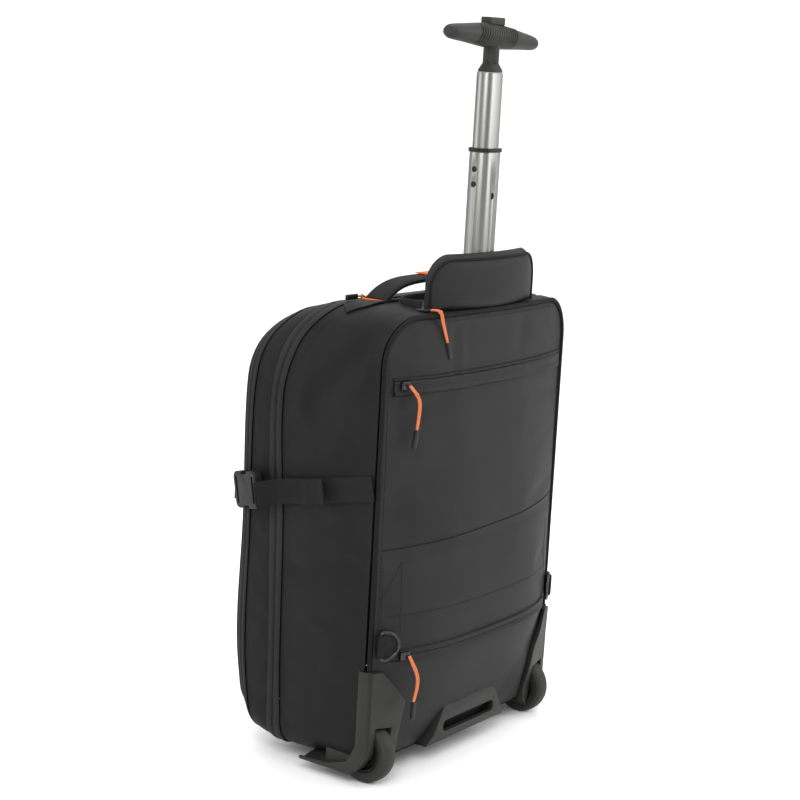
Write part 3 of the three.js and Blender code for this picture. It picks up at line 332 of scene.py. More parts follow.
# rows of points, one row per step across; each row runs along and may close on itself
def gridPiece(name, rows, closed=False):
    along = len(rows[0])
    points, uvs, faces = [], [], []
    across = 0
    for i, row in enumerate(rows):
        if i:
            across += (Vector(row[along // 3]) - Vector(rows[i - 1][along // 3])).length
        run = 0
        for j, p in enumerate(row):
            if j:
                run += (Vector(p) - Vector(row[j - 1])).length
            points.append(tuple(p))
            uvs.append((run, across))
    for i in range(len(rows) - 1):
        for j in range(along if closed else along - 1):
            k = (j + 1) % along
            face = (i * along + j, i * along + k, (i + 1) * along + k, (i + 1) * along + j)
            faces.append(face[::-1] if closed else face)
    return meshPiece(name, points, faces, uvs)


def activate(ob):
    bpy.ops.object.select_all(action="DESELECT")
    ob.select_set(True)
    bpy.context.view_layer.objects.active = ob


def addModifier(ob, kind, **values):
    activate(ob)
    mod = ob.modifiers.new(kind.lower(), kind)
    for key, value in values.items():
        setattr(mod, key, value)
    bpy.ops.object.modifier_apply(modifier=mod.name)
    return ob


def joined(name, parts):
    bpy.ops.object.select_all(action="DESELECT")
    for p in parts:
        p.select_set(True)
    bpy.context.view_layer.objects.active = parts[0]
    if len(parts) > 1:
        bpy.ops.object.join()
    parts[0].name = name
    parts[0].data.name = name
    return parts[0]


def bakePlace(ob):
    activate(ob)
    bpy.ops.object.transform_apply(location=True, rotation=True, scale=True)
    return ob


def facesOut(ob):
    activate(ob)
    bpy.ops.object.mode_set(mode="EDIT")
    bpy.ops.mesh.select_all(action="SELECT")
    bpy.ops.mesh.remove_doubles(threshold=0.00002)
    bpy.ops.mesh.normals_make_consistent(inside=False)
    bpy.ops.object.mode_set(mode="OBJECT")
    return ob


# a tube of a given radius along points in metres
def tubePiece(name, points, radius, sides=12, closed=False):
    count = len(points)
    pts = [Vector(p) for p in points]
    rows = []
    normal = None
    for i, p in enumerate(pts):
        before = pts[(i - 1) % count] if closed or i else p
        after = pts[(i + 1) % count] if closed or i < count - 1 else p
        run = (after - before).normalized()
        if normal is None:
            normal = run.orthogonal().normalized()
        side = run.cross(normal).normalized()
        normal = side.cross(run).normalized()
        rows.append([p + radius * (math.cos(t) * side + math.sin(t) * normal)
                     for t in (2 * math.pi * k / sides for k in range(sides))])
    verts, uvs, faces = [], [], []
    run = 0
    for i, row in enumerate(rows):
        if i:
            run += (pts[i] - pts[i - 1]).length
        for k, p in enumerate(row):
            verts.append(tuple(p))
            uvs.append((run, 2 * math.pi * radius * k / sides))
    for i in range(count if closed else count - 1):
        n = (i + 1) % count
        for k in range(sides):
            m = (k + 1) % sides
            faces.append((i * sides + k, i * sides + m, n * sides + m, n * sides + k))
    if not closed:
        faces.append(tuple(range(sides))[::-1])
        faces.append(tuple((count - 1) * sides + k for k in range(sides)))
    return facesOut(meshPiece(name, verts, faces, uvs))


def splined(points, steps):
    pts = [Vector(p) for p in points]
    out = []
    for i in range(len(pts) - 1):
        a, b = pts[max(i - 1, 0)], pts[i]
        c, d = pts[i + 1], pts[min(i + 2, len(pts) - 1)]
        for k in range(steps):
            t = k / steps
            out.append(0.5 * ((2 * b) + (c - a) * t + (2 * a - 5 * b + 4 * c - d) * t * t
                              + (3 * b - a - 3 * c + d) * t ** 3))
    out.append(pts[-1])
    return out


# a hard piece: the CAD form merged, its edges rounded and shaded smooth
def roundedPart(node, name, finish, edge, steps, angle):
    ob = bpy.data.objects.new(name, frame["nodes"][node].data.copy())
    bpy.context.scene.collection.objects.link(ob)
    ob.data.name = name
    activate(ob)
    bpy.ops.object.mode_set(mode="EDIT")
    bpy.ops.mesh.select_all(action="SELECT")
    bpy.ops.mesh.remove_doubles(threshold=0.00001)
    bpy.ops.mesh.dissolve_limited(angle_limit=math.radians(1.0))
    bpy.ops.object.mode_set(mode="OBJECT")
    addModifier(ob, "BEVEL", width=edge, segments=steps, limit_method="ANGLE",
                angle_limit=math.radians(angle))
    return finishPiece(ob, finish, [node])


# pressure blows a pinned sheet out a little; no point moves further than cap (metres)
def clothPass(ob, pinned, pressure, cap, shrink=-0.004, frames=20):
    start = [v.co.copy() for v in ob.data.vertices]
    group = ob.vertex_groups.new(name="pin")
    for index, weight in pinned.items():
        group.add([index], weight, "REPLACE")
    mod = ob.modifiers.new("cloth", "CLOTH")
    s = mod.settings
    s.quality = 6
    s.mass = 0.35
    s.tension_stiffness = 20
    s.compression_stiffness = 20
    s.bending_stiffness = 0.7
    s.use_pressure = True
    s.uniform_pressure_force = pressure
    s.shrink_min = shrink
    s.effector_weights.gravity = 0
    s.vertex_group_mass = "pin"
    mod.point_cache.frame_start = 1
    mod.point_cache.frame_end = frames
    for f in range(1, frames + 1):
        bpy.context.scene.frame_set(f)
    activate(ob)
    bpy.ops.object.modifier_apply(modifier=mod.name)
    for v, was in zip(ob.data.vertices, start):
        move = v.co - was
        if move.length > cap:
            v.co = was + move * (cap / move.length)
    ob.vertex_groups.clear()
    bpy.context.scene.frame_set(1)
    return ob


# the bag's shell, in millimetres with y = 0 at the panel's border, as the CAD has it
bag = {
    "half": 175, "top": 500, "base": 20, "depth": 178, "topCorner": 50, "baseCorner": 24,
    "piping": 2.5, "gap": 0.3, "crown": 33, "frontCrown": 7, "wall": 2.4, "band": 1.2,
}
shiftY = (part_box("trolley_bezel")[0][1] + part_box("trolley_bezel")[1][1]) / 2 / mm - 8

bagRows = [
    {"drop": 0, "rise": 0, "round": 1, "tuck": 0, "depth": (0, 0, 0, 0, 0, 0)},
    {"drop": 0, "rise": 0, "round": 1, "tuck": 0, "depth": (0.31, 0.32, 0.33, 0.34, 0.3, 0.25)},
    {"drop": 0, "rise": -0.006, "round": 1.1, "tuck": 0, "depth": (0.62, 0.65, 0.67, 0.71, 0.6, 0.49)},
    {"drop": 0.004, "rise": -0.006, "round": 1.22, "tuck": 0, "depth": (0.73, 0.74, 0.77, 0.8, 0.715, 0.62)},
    {"drop": 0.022, "rise": 0.006, "round": 1.22, "tuck": 0.002,
     "depth": (0.86, 0.93, 0.93, 0.935, 0.87, 0.78)},
    {"drop": 0.042, "rise": 0.045, "round": 1.25, "tuck": 0.012, "depth": (0.93, 1, 0.99, 1, 0.965, 0.9)},
]
depthHeights = (0, 0.2, 0.5, 0.8, 0.93, 1)
domeHeights = (0, 0.08, 0.25, 0.52, 0.82, 0.94, 1)
domeCrown = (0, 0.38, 1, 0.86, 0.58, 0.48, 0.5)
domeSquare = (3.4, 3.4, 3.2, 3, 2.6, 2.4, 2.4)


def curveThrough(stations, values, at):
    last = len(stations) - 1
    x = min(max(at, stations[0]), stations[last])
    k = 0
    while k < last - 1 and x > stations[k + 1]:
        k += 1

    def slope(i):
        a, b = max(i - 1, 0), min(i + 1, last)
        return (values[b] - values[a]) / (stations[b] - stations[a])

    span = stations[k + 1] - stations[k]
    t = (x - stations[k]) / span
    rise = values[k + 1] - values[k]
    return (values[k] + rise * t
            + t * (1 - t) * span * ((slope(k) - rise / span) * (1 - t) - (slope(k + 1) - rise / span) * t))


def domeAt(x, z):
    h = (z - bag["base"]) / (bag["top"] - bag["base"])
    across = min(abs(x) / bag["half"], 1)
    return -bag["crown"] * curveThrough(domeHeights, domeCrown, h) * (
        1 - across ** curveThrough(domeHeights, domeSquare, h))


def rowAt(t):
    k = min(int(t), len(bagRows) - 2)
    s = t - k
    a, b = bagRows[k], bagRows[k + 1]
    mixed = {key: a[key] * (1 - s) + b[key] * s for key in ("drop", "rise", "round", "tuck")}
    mixed["depth"] = [p * (1 - s) + q * s for p, q in zip(a["depth"], b["depth"])]
    return mixed


def edgesOf(row, inset):
    tall = bag["top"] - bag["base"]
    return (bag["half"] - row["tuck"] * 2 * bag["half"] - inset,
            bag["base"] + row["rise"] * tall + inset, bag["top"] - row["drop"] * tall - inset,
            max(bag["topCorner"] * row["round"] - inset, 1), max(bag["baseCorner"] * row["round"] - inset, 1))


# evenly spread points round the bag's outline, from the middle of the base up the right side
def outlineAt(t, inset=0, cornerSteps=10, sideSteps=56, topSteps=40):
    half, low, high, rTop, rLow = edgesOf(rowAt(t), inset)
    corners = [
        (half - rLow, low + rLow, rLow, -90, sideSteps), (half - rTop, high - rTop, rTop, 0, topSteps),
        (rTop - half, high - rTop, rTop, 90, sideSteps), (rLow - half, low + rLow, rLow, 180, topSteps),
    ]
    out = []
    for n, (cx, cz, r, start, after) in enumerate(corners):
        for i in range(cornerSteps + 1):
            a = math.radians(start + 90 * i / cornerSteps)
            out.append((cx + r * math.cos(a), cz + r * math.sin(a), n))
        nx, nz, nr, ns, _ = corners[(n + 1) % 4]
        a = math.radians(ns)
        end = (nx + nr * math.cos(a), nz + nr * math.sin(a))
        first = out[-1]
        for i in range(1, after):
            s = i / after
            out.append((first[0] + (end[0] - first[0]) * s, first[1] + (end[1] - first[1]) * s, n))
    return out


def depthAt(t, x, z):
    row = rowAt(t)
    low, high = edgesOf(row, 0)[1:3]
    depth = bag["depth"] * curveThrough(depthHeights, row["depth"], (z - low) / (high - low))
    return depth + domeAt(x, z) * max(1 - t, 0)


# hollows in the soft sides: from (y, z), to (y, z), spread and depth in mm
dents = [
    {"from": (14, 471), "to": (82, 404), "spread": 17, "deep": 5.5, "side": -1},
    {"from": (60, 380), "to": (112, 352), "spread": 20, "deep": 1.6, "side": -1},
    {"from": (20, 250), "to": (96, 214), "spread": 26, "deep": 2.2, "side": -1},
    {"from": (30, 120), "to": (104, 96), "spread": 20, "deep": 1.8, "side": -1},
    {"from": (30, 440), "to": (96, 388), "spread": 24, "deep": 2.6, "side": 1},
    {"from": (24, 230), "to": (100, 190), "spread": 28, "deep": 2.2, "side": 1},
]


def awayFrom(line, spot):
    a, b, p = Vector(line["from"]), Vector(line["to"]), Vector(spot)
    s = min(max((p - a).dot(b - a) / (b - a).length_squared, 0), 1)
    return (p - a.lerp(b, s)).length


def hollowAt(x, y, z):
    total = 0
    for d in dents:
        if x * d["side"] >= 0:
            total += d["deep"] * math.exp(-(awayFrom(d, (y, z)) / d["spread"]) ** 2)
    return total


def toFrame(x, y, z):
    return (x * mm, (y + shiftY) * mm, z * mm)


# the soft ring between two seams; profile gives how far it stands out across its width
def shellRing(name, start, end, steps, profile, startGap, endGap, dent=True):
    rows = []
    for k in range(steps + 1):
        s = k / steps
        t = start + (end - start) * s
        seam = outlineAt(t)
        out = profile(s)
        row = []
        for (x, z, _), (sx, sz, side) in zip(outlineAt(t, -out), seam):
            y = depthAt(t, sx, sz) + startGap * (1 - s) - endGap * s
            sink = hollowAt(sx, y, sz) if dent and side in (0, 2) and abs(sx) > bag["half"] * 0.9 else 0
            fade = math.sin(math.pi * min(max(s, 0), 1)) ** 0.5
            x -= math.copysign(sink * fade, x)
            row.append(toFrame(x, y, z))
        rows.append(row)
    return gridPiece(name, rows, closed=True)


def thicken(ob, thickness, sign=-1):
    return addModifier(ob, "SOLIDIFY", thickness=thickness * mm, offset=sign, use_rim=True)


def pinSeams(rowLength, rowCount, keep=2):
    pinned = {}
    for i in range(rowCount):
        edge = min(i, rowCount - 1 - i)
        if edge < keep:
            for j in range(rowLength):
                pinned[i * rowLength + j] = 1.0 if edge == 0 else 0.6
    return pinned


seamPoints = len(outlineAt(0))

gusset = {"steps": 24, "pressure": 2.5, "cap": 4.5}
mainGusset = shellRing("cloth_main_gusset", 0, 2, gusset["steps"],
                       lambda s: -0.6 + 0.9 * math.sin(math.pi * s) ** 0.4, bag["piping"] + 0.6, 0.15)
clothPass(mainGusset, pinSeams(seamPoints, gusset["steps"] + 1), gusset["pressure"],
          gusset["cap"] * mm)
print("main gusset made")

# the hole for the pull handle, its border drawn onto the oval round the bezel
trolleyHole = {"half": 22.2, "deep": 15.8, "at": 8}


def holeShare(co):
    x, y = co.x / mm / trolleyHole["half"], (co.y / mm - shiftY - trolleyHole["at"]) / trolleyHole["deep"]
    return (abs(x) ** 3 + abs(y) ** 3) ** (1 / 3) if co.z > 0.4 else 9


form = bmesh.new()
form.from_mesh(mainGusset.data)
inside = [f for f in form.faces if holeShare(f.calc_center_median()) < 1.02]
bmesh.ops.delete(form, geom=inside, context="FACES")
for v in form.verts:
    share = holeShare(v.co)
    if v.is_boundary and share < 1.6:
        centre = (shiftY + trolleyHole["at"]) * mm
        v.co.x /= share
        v.co.y = centre + (v.co.y - centre) / share
        v.co.z = (bag["top"] - 0.4) * mm
form.to_mesh(mainGusset.data)
form.free()
thicken(mainGusset, bag["wall"])
finishPiece(mainGusset, "sideCloth", ["main_gusset"])

# a zip band: two welted tapes with the coil sunk between them
band = {"steps": 12, "welt": 1.1, "groove": 1.3}


def bandProfile(s):
    edge = min(s, 1 - s)
    rise = bag["band"] + band["welt"] * min(edge / 0.16, 1) ** 0.5 - 0.5
    return rise - band["groove"] * math.exp(-((s - 0.5) / 0.09) ** 2)


for name, node, start in (("cloth_main_band", "main_zip_band", 2), ("cloth_front_band", "front_zip_band", 4)):
    ob = shellRing(name, start, start + 1, band["steps"], bandProfile, 0.15, 0.15, dent=False)
    coil = [f.index for f in ob.data.polygons
            if band["steps"] // 2 - 1 <= f.index // seamPoints < band["steps"] // 2 + 1]
    thicken(ob, bag["wall"])
    finishPiece(ob, ["bandCloth", "zipCoilWithGrooveShade"], [node])
    # the coil faces take the coil colour, which is darkened as painted groove shade
    for index in coil:
        ob.data.polygons[index].material_index = 1

frontRing = {"steps": 14, "pressure": 2.0, "cap": 0.003}
frontGusset = shellRing("cloth_front_gusset", 3, 4, frontRing["steps"],
                        lambda s: -0.5 + 1.1 * math.sin(math.pi * s) ** 0.5, 0.15, 0.15, dent=False)
clothPass(frontGusset, pinSeams(seamPoints, frontRing["steps"] + 1), frontRing["pressure"],
          frontRing["cap"])
thicken(frontGusset, bag["wall"])
finishPiece(frontGusset, "sideCloth", ["front_gusset"])

# seam allowances: the turned edges of cloth behind each seam
for at in (2, 3, 4, 4.95):
    allowance = shellRing(f"seam_allowance_{at:g}".replace(".", "_"), at - 0.08, min(at + 0.08, 5), 2,
                          lambda s: -2.9, 0, 0, dent=False)
    thicken(allowance, 0.6)
    finishPiece(allowance, "bindingTape", body="bag")
print("gussets and bands made")


# the two big panels: a grid inside the seam, pinned round its border and blown out a little
panelMesh = {"cols": 60, "rows": 84, "backPressure": 1.6, "backCap": 0.0035, "frontPressure": 1.4,
             "frontCap": 0.003}


def panelGrid(name, t, inset, surface, flip):
    cols, rows = panelMesh["cols"], panelMesh["rows"]
    half, low, high, rTop, rLow = edgesOf(rowAt(t), inset)
    grid = []
    levels = [low + rLow * (1 - math.cos(math.pi / 2 * k / 8)) for k in range(8)]
    levels += [low + rLow + (high - rTop - low - rLow) * k / (rows - 20) for k in range(rows - 20)]
    levels += [high - rTop * (1 - math.sin(math.pi / 2 * k / 12)) for k in range(13)]
    for z in levels:
        if z < low + rLow:
            w = half - rLow + math.sqrt(max(rLow ** 2 - (low + rLow - z) ** 2, 0))
        elif z > high - rTop:
            w = half - rTop + math.sqrt(max(rTop ** 2 - (z - high + rTop) ** 2, 0))
        else:
            w = half
        line = []
        for i in range(cols + 1):
            x = w * (2 * i / cols - 1)
            edge = max(abs(x) / w, abs(z - (low + high) / 2) / ((high - low) / 2))
            line.append(toFrame(x, surface(x, z, edge), z))
        grid.append(line if flip else line[::-1])
    return gridPiece(name, grid)


def pinBorder():
    cols, rows = panelMesh["cols"] + 1, panelMesh["rows"] + 1
    pinned = {}
    for i in range(rows):
        for j in range(cols):
            edge = min(i, j, rows - 1 - i, cols - 1 - j)
            if edge < 2:
                pinned[i * cols + j] = 1.0 if edge == 0 else 0.5
    return pinned


# soft marks on the padded panel: (x, z) to (x, z), spread and depth in mm
panelMarks = [
    {"from": (-70, 490), "to": (-72, 436), "spread": 7, "deep": 2.4},
    {"from": (-52, 494), "to": (-46, 452), "spread": 9, "deep": 1.2},
    {"from": (60, 492), "to": (52, 448), "spread": 10, "deep": 1.4},
    {"from": (-160, 250), "to": (160, 262), "spread": 3.4, "deep": 1.8},
    {"from": (-166, 182), "to": (-20, 182), "spread": 2.6, "deep": 1.3},
    {"from": (-150, 120), "to": (-60, 60), "spread": 18, "deep": 1.6},
    {"from": (150, 120), "to": (60, 60), "spread": 18, "deep": 1.6},
    {"from": (-150, 380), "to": (-60, 300), "spread": 26, "deep": 1.2},
    {"from": (140, 400), "to": (70, 330), "spread": 26, "deep": 1.0},
]


def markAt(x, z, marks):
    total = 0
    for m in marks:
        total += m["deep"] * math.exp(-(awayFrom(m, (x, z)) / m["spread"]) ** 2)
    return total


panelInset = 2 * bag["piping"] + 2 * bag["gap"]


def backSurface(x, z, edge):
    return domeAt(x, z) + 0.4 + markAt(x, z, panelMarks) * min(1, (1 - edge) * 14)


backPanel = panelGrid("cloth_back_panel", 0, panelInset, backSurface, flip=True)
clothPass(backPanel, pinBorder(), panelMesh["backPressure"], panelMesh["backCap"])
print("back panel blown")
thicken(backPanel, bag["wall"])
finishPiece(backPanel, "panelCloth", ["back_panel"])


def frontSurface(x, z, edge):
    crown = bag["frontCrown"] * (1 - edge ** 3)
    crease = 1.2 * math.exp(-((abs(x) - 118) / 3) ** 2) * (1 - edge ** 6)
    return depthAt(5, x, z) + bag["gap"] + 2.6 + crown - crease


frontPanel = panelGrid("cloth_front_panel", 5, 0, frontSurface, flip=False)
clothPass(frontPanel, pinBorder(), panelMesh["frontPressure"], panelMesh["frontCap"])
thicken(frontPanel, bag["wall"])
finishPiece(frontPanel, "panelCloth", ["front_panel"])
print("front panel blown")

# piping: corded binding round the back panel, from one wheel housing up and over to the other
pipe = {"radius": 2.5, "foot": 125}


def pipingLine(inset, foot):
    line = [(x, z) for x, z, _ in outlineAt(0, inset) if z > bag["base"] + 80 and z >= foot]
    right = [(bag["half"] - inset, foot)]
    return right + line + [(inset - bag["half"], foot)]


line = pipingLine(pipe["radius"], pipe["foot"])
piping = tubePiece("corded_piping", [toFrame(x, domeAt(x, z), z) for x, z in line], pipe["radius"] * mm,
                   sides=10)
finishPiece(piping, "bindingTape", ["back_piping"], smooth=60)

# two rows of lockstitch beside the piping and along the pocket seams, one thread pitch apart
stitch = {"length": 2.2, "pitch": 3.4, "thick": 0.34, "inset": 9.5}
stitchLines = [
    {"from": (-163, 240), "to": (-163, 146)}, {"from": (-142, 168), "to": (-142, 244)},
    {"from": (-163, 206), "to": (-142, 244)}, {"from": (-158, 186), "to": (150, 186)},
    {"from": (-160, 257), "to": (158, 268)}, {"from": (163, 240), "to": (163, 146)},
    {"from": (142, 168), "to": (142, 244)},
]


def stitchAlong(points):
    verts, faces = [], []
    for a, b in points:
        run = (b - a).normalized()
        side = run.cross(Vector((0, 1, 0))).normalized() * stitch["thick"] * mm
        out = Vector((0, -1, 0)) * stitch["thick"] * mm
        base = len(verts)
        for p, s in ((a, 0.35), (a.lerp(b, 0.25), 1), (a.lerp(b, 0.75), 1), (b, 0.35)):
            verts += [tuple(q) for q in (p + side * s, p + out * 1.5 * s, p - side * s, p - out * 0.6 * s)]
        for k in range(3):
            for m in range(4):
                n = (m + 1) % 4
                faces.append((base + 4 * k + m, base + 4 * k + n, base + 4 * k + 4 + n, base + 4 * k + 4 + m))
        faces += [(base, base + 1, base + 2, base + 3)[::-1], (base + 12, base + 13, base + 14, base + 15)]
    return verts, faces


def surfaceOf(ob):
    return BVHTree.FromPolygons([v.co for v in ob.data.vertices], [p.vertices for p in ob.data.polygons])


# where a straight look meets a blown surface
trees = {"back": surfaceOf(backPanel), "main": surfaceOf(mainGusset), "front": surfaceOf(frontPanel)}


def onPanel(x, z, lift=0.0):
    hit = trees["back"].ray_cast(Vector((x * mm, -0.4, z * mm)), Vector((0, 1, 0)))[0]
    y = hit.y if hit else (domeAt(x, z) + shiftY) * mm
    return Vector((x * mm, y - lift * mm, z * mm))


def stitchRun(line):
    pairs = []
    a, b = Vector(line["from"]), Vector(line["to"])
    count = int((b - a).length / stitch["pitch"])
    for i in range(count):
        s = a.lerp(b, i / count)
        e = s + (b - a).normalized() * stitch["length"]
        pairs.append((onPanel(s.x, s.y, 0.1), onPanel(e.x, e.y, 0.1)))
    return pairs


pairs = [pair for line in stitchLines for pair in stitchRun(line)]
edgeLine = [(x, z) for x, z, _ in outlineAt(0, stitch["inset"], 8, 110, 90) if z > 150]
for i in range(len(edgeLine) - 1):
    a, b = Vector(edgeLine[i]), Vector(edgeLine[i + 1])
    if (b - a).length < 6:
        e = a.lerp(b, 0.66)
        pairs.append((onPanel(a.x, a.y, 0.1), onPanel(e.x, e.y, 0.1)))
stitches = facesOut(meshPiece("panel_stitches", *stitchAlong(pairs)))
finishPiece(stitches, "stitchThread", body="bag")
print("piping and stitches made")


def meets(tree, spot, direction, fallback):
    hit = trees[tree].ray_cast(Vector(spot), Vector(direction))[0]
    return hit or Vector(fallback)


# a woven strap: centre points in metres, one direction across, width and thickness in mm
def strapPiece(name, points, across, width, thick, steps=8):
    pts = [Vector(p) for p in points]
    sides = [Vector(a) for a in across] if isinstance(across, list) else [Vector(across)] * len(pts)
    section = [(k / steps * 2 - 1, 1) for k in range(steps + 1)]
    section += [(1 - k / steps * 2, -1) for k in range(steps + 1)]
    verts, uvs, faces = [], [], []
    run = 0
    for i, p in enumerate(pts):
        along = (pts[min(i + 1, len(pts) - 1)] - pts[max(i - 1, 0)]).normalized()
        side = sides[i].normalized()
        out = along.cross(side).normalized()
        if i:
            run += (p - pts[i - 1]).length
        for s, h in section:
            lip = 1 - 0.5 * abs(s) ** 8
            verts.append(tuple(p + side * s * width / 2 * mm + out * h * lip * thick / 2 * mm))
            uvs.append((run, s * width / 2 * mm))
    ring = len(section)
    for i in range(len(pts) - 1):
        for k in range(ring):
            m = (k + 1) % ring
            faces.append((i * ring + k, i * ring + m, (i + 1) * ring + m, (i + 1) * ring + k))
    faces.append(tuple(range(ring))[::-1])
    faces.append(tuple((len(pts) - 1) * ring + k for k in range(ring)))
    return facesOut(meshPiece(name, verts, faces, uvs))


def otherSide(ob, name):
    copy = ob.copy()
    copy.data = ob.data.copy()
    copy.name = copy.data.name = name
    bpy.context.scene.collection.objects.link(copy)
    copy.data.transform(Matrix.Scale(-1, 4, (1, 0, 0)))
    copy.data.flip_normals()
    return copy


# the left piece as made, and its mirror image on the right
def pairPieces(left, name, finish, node, smooth=38):
    for ob, side in ((left, "left"), (otherSide(left, f"{name}_right"), "right")):
        finishPiece(ob, finish, [f"{node}_{side}"], smooth=smooth)


# zip strips on the panel: a welt at the lower edge, a flat tape, and the coil in its groove near the top
zips = {
    "upper": {"half": 160, "low": 419, "wide": 17, "coil": 0.84},
    "lower": {"half": 142, "low": 137, "wide": 11, "coil": 0.5},
}


def stripHeight(s, coil):
    lip = min(1, min(s, 1 - s) / 0.06) ** 0.5
    welt = 1.2 * math.exp(-((s - 0.12) / 0.1) ** 2)
    return lip * (1.7 + welt) - 1.7 * math.exp(-((s - coil) / 0.07) ** 2)


for name, z in zips.items():
    columns, across = 150, 20
    rows = []
    for i in range(across + 1):
        s = i / across
        rows.append([onPanel(z["half"] * (2 * j / columns - 1), z["low"] + z["wide"] * s,
                             stripHeight(s, z["coil"])) for j in range(columns + 1)])
    ob = gridPiece(f"cloth_{name}_zip_strip", rows)
    ob.data.flip_normals()
    thicken(ob, 0.8)
    finishPiece(ob, ["bandCloth", "zipCoilWithGrooveShade"], [f"{name}_zip_strip"])
    # the coil faces take the coil colour, which is darkened as painted groove shade
    for face in ob.data.polygons:
        height = face.center.z / mm
        if abs((height - z["low"]) / z["wide"] - z["coil"]) < 0.06:
            face.material_index = 1
print("zip strips made")

# hood: a domed face with a corded edge, and a gusset that runs back to the trolley well
hood = {"half": 98, "tall": 52, "corner": 28, "gusset": 7.5, "bow": 16, "lift": 6, "puff": 2.2, "cord": 1.7}
hoodFoot = bag["top"] + bag["gap"]


def hoodEdge(grow=0):
    half, high, r = hood["half"] + grow, hoodFoot + hood["tall"] + grow, hood["corner"] + grow
    edge = []
    for k in range(33):
        edge.append((half, hoodFoot + (high - r - hoodFoot) * k / 33))
    for k in range(25):
        a = k / 24 * math.pi / 2
        edge.append((half - r + r * math.cos(a), high - r + r * math.sin(a)))
    for k in range(1, 60):
        edge.append((half - r - (2 * half - 2 * r) * k / 60, high))
    left = [(-x, z) for x, z in edge[:58]][::-1]
    foot = [(-half + 2 * half * k / 60, hoodFoot) for k in range(1, 60)]
    return edge + left + foot


def hoodPoint(x, z, y, lift=0):
    bow = hood["bow"] * (1 - min(abs(x) / hood["half"], 1) ** 2)
    rise = lift * max((z - hoodFoot) / hood["tall"], 0)
    return toFrame(x, y - bow, z + rise)


edge = hoodEdge()
hoodMid = hoodFoot + hood["tall"] / 2
rows = []
for share in [k / 14 for k in range(15)]:
    puff = -3 + 3 * share ** 6 - hood["puff"] * (1 - share ** 4)
    rows.append([hoodPoint(x * share, hoodMid + (z - hoodMid) * share, puff) for x, z in edge])
for k in range(1, 8):
    s = k / 7
    bulge = 0.8 * math.sin(math.pi * s)
    rows.append([hoodPoint(x * (1 + bulge / hood["half"]), z + bulge * (z > hoodFoot), hood["gusset"] * s,
                           hood["lift"] * s) for x, z in edge])
hoodShell = gridPiece("cloth_hood", rows, closed=True)
facesOut(hoodShell)
thicken(hoodShell, 1.6)
cordLine = [hoodPoint(x, z, -0.2) for x, z in hoodEdge(0.4)][:len(edge) - 59]
hoodCord = tubePiece("hood_cord", cordLine, hood["cord"] * mm, sides=8)
hoodCount = len(hoodShell.data.polygons)
hoodShell = joined("cloth_hood", [hoodShell, hoodCord])
finishPiece(hoodShell, ["panelCloth", "bindingTape"], ["hood"])
for face in hoodShell.data.polygons:
    face.material_index = 1 if face.index >= hoodCount else 0

# the well's rim: a bound, standing strip of cloth round the back of the trolley well
rim = {"half": 99, "front": 10.5, "deep": 38.5, "level": 505.4, "tall": 9.6, "thick": 1.9}
rimLine = []
for k in range(31):
    a = k / 30 * math.pi
    rimLine.append(toFrame(rim["half"] * math.copysign(abs(math.cos(a)) ** 0.35, math.cos(a)),
                           rim["front"] + rim["deep"] * abs(math.sin(a)) ** 0.45, rim["level"]))
wellRim = strapPiece("cloth_well_rim", rimLine, (0, 0, 1), rim["tall"], rim["thick"])
finishPiece(wellRim, "bandCloth", ["trolley_well_rim"])
print("hood made")

# top handle: padded arch on two anchors, orange binding at its feet and over its middle
handle = {"half": 98, "rise": 21, "wide": 28, "thick": 6.4, "deep": 69, "foot": 502.6}
arch = []
for k in range(49):
    s = k / 24 - 1
    arch.append(toFrame(s * handle["half"], handle["deep"],
                        handle["foot"] + 1 + (handle["rise"] - 2.6) * (1 - abs(s) ** 4)))
grab = strapPiece("webbing_grab_handle", arch, (0, 1, 0), handle["wide"], handle["thick"], steps=12)
finishPiece(grab, "webbing", ["grab_handle"])


def topOf(x, y):
    return meets("main", (x * mm, (y + shiftY) * mm, 0.7), (0, 0, -1), toFrame(x, y, bag["top"])).z / mm


for side, name in ((-1, "left"), (1, "right")):
    rows = []
    for i in range(13):
        s = i / 12
        x = side * (73.5 + 74.5 * s)
        half = 16.5 * min(1, (1 - s) / 0.2 + 0.02)
        rows.append([toFrame(x, handle["deep"] + half * v, topOf(x, handle["deep"] + half * v) + 1.7)
                     for v in (k / 8 - 1 for k in range(17))])
    patch = gridPiece(f"cloth_anchor_{name}", rows)
    thicken(patch, 1.6, 0)
    finishPiece(facesOut(patch), "sideCloth", [f"handle_anchor_{name}"])
    x = side * 100.3
    trimLine = [toFrame(x, handle["deep"] + 15.5 * v, 503.7) for v in (-1, 0, 1)]
    trim = strapPiece(f"orange_trim_{name}", trimLine, (1, 0, 0), 4.6, 2.2)
    finishPiece(trim, "orangeTape", [f"handle_trim_{name}"])
crestLine = [toFrame(14 * v, handle["deep"], 526.6) for v in (-1, -0.5, 0, 0.5, 1)]
crest = strapPiece("orange_top_trim", crestLine, (0, 1, 0), 22.4, 1.2)
finishPiece(crest, "orangeTape", ["handle_top_trim"])
print("handle made")

# side straps: laid on the blown gusset, through the buckle, and the tail curled back
strap = {"wide": 26.5, "thick": 1.7, "height": 337, "slope": 11, "onCloth": 128}
turn = math.radians(strap["slope"])
strapMid = strap["height"] - strap["wide"] / 2


def sideSpot(at, out):
    y, z = at * math.cos(turn), strapMid - at * math.sin(turn)
    hit = meets("main", (-0.4, (y + shiftY) * mm, z * mm), (1, 0, 0), toFrame(-bag["half"], y, z))
    stand = -hit.x / mm - bag["half"] + 1.1 if at < strap["onCloth"] else out
    return toFrame(-bag["half"] - max(out, stand + max(out - 1.6, 0) * 0.8), y, z)


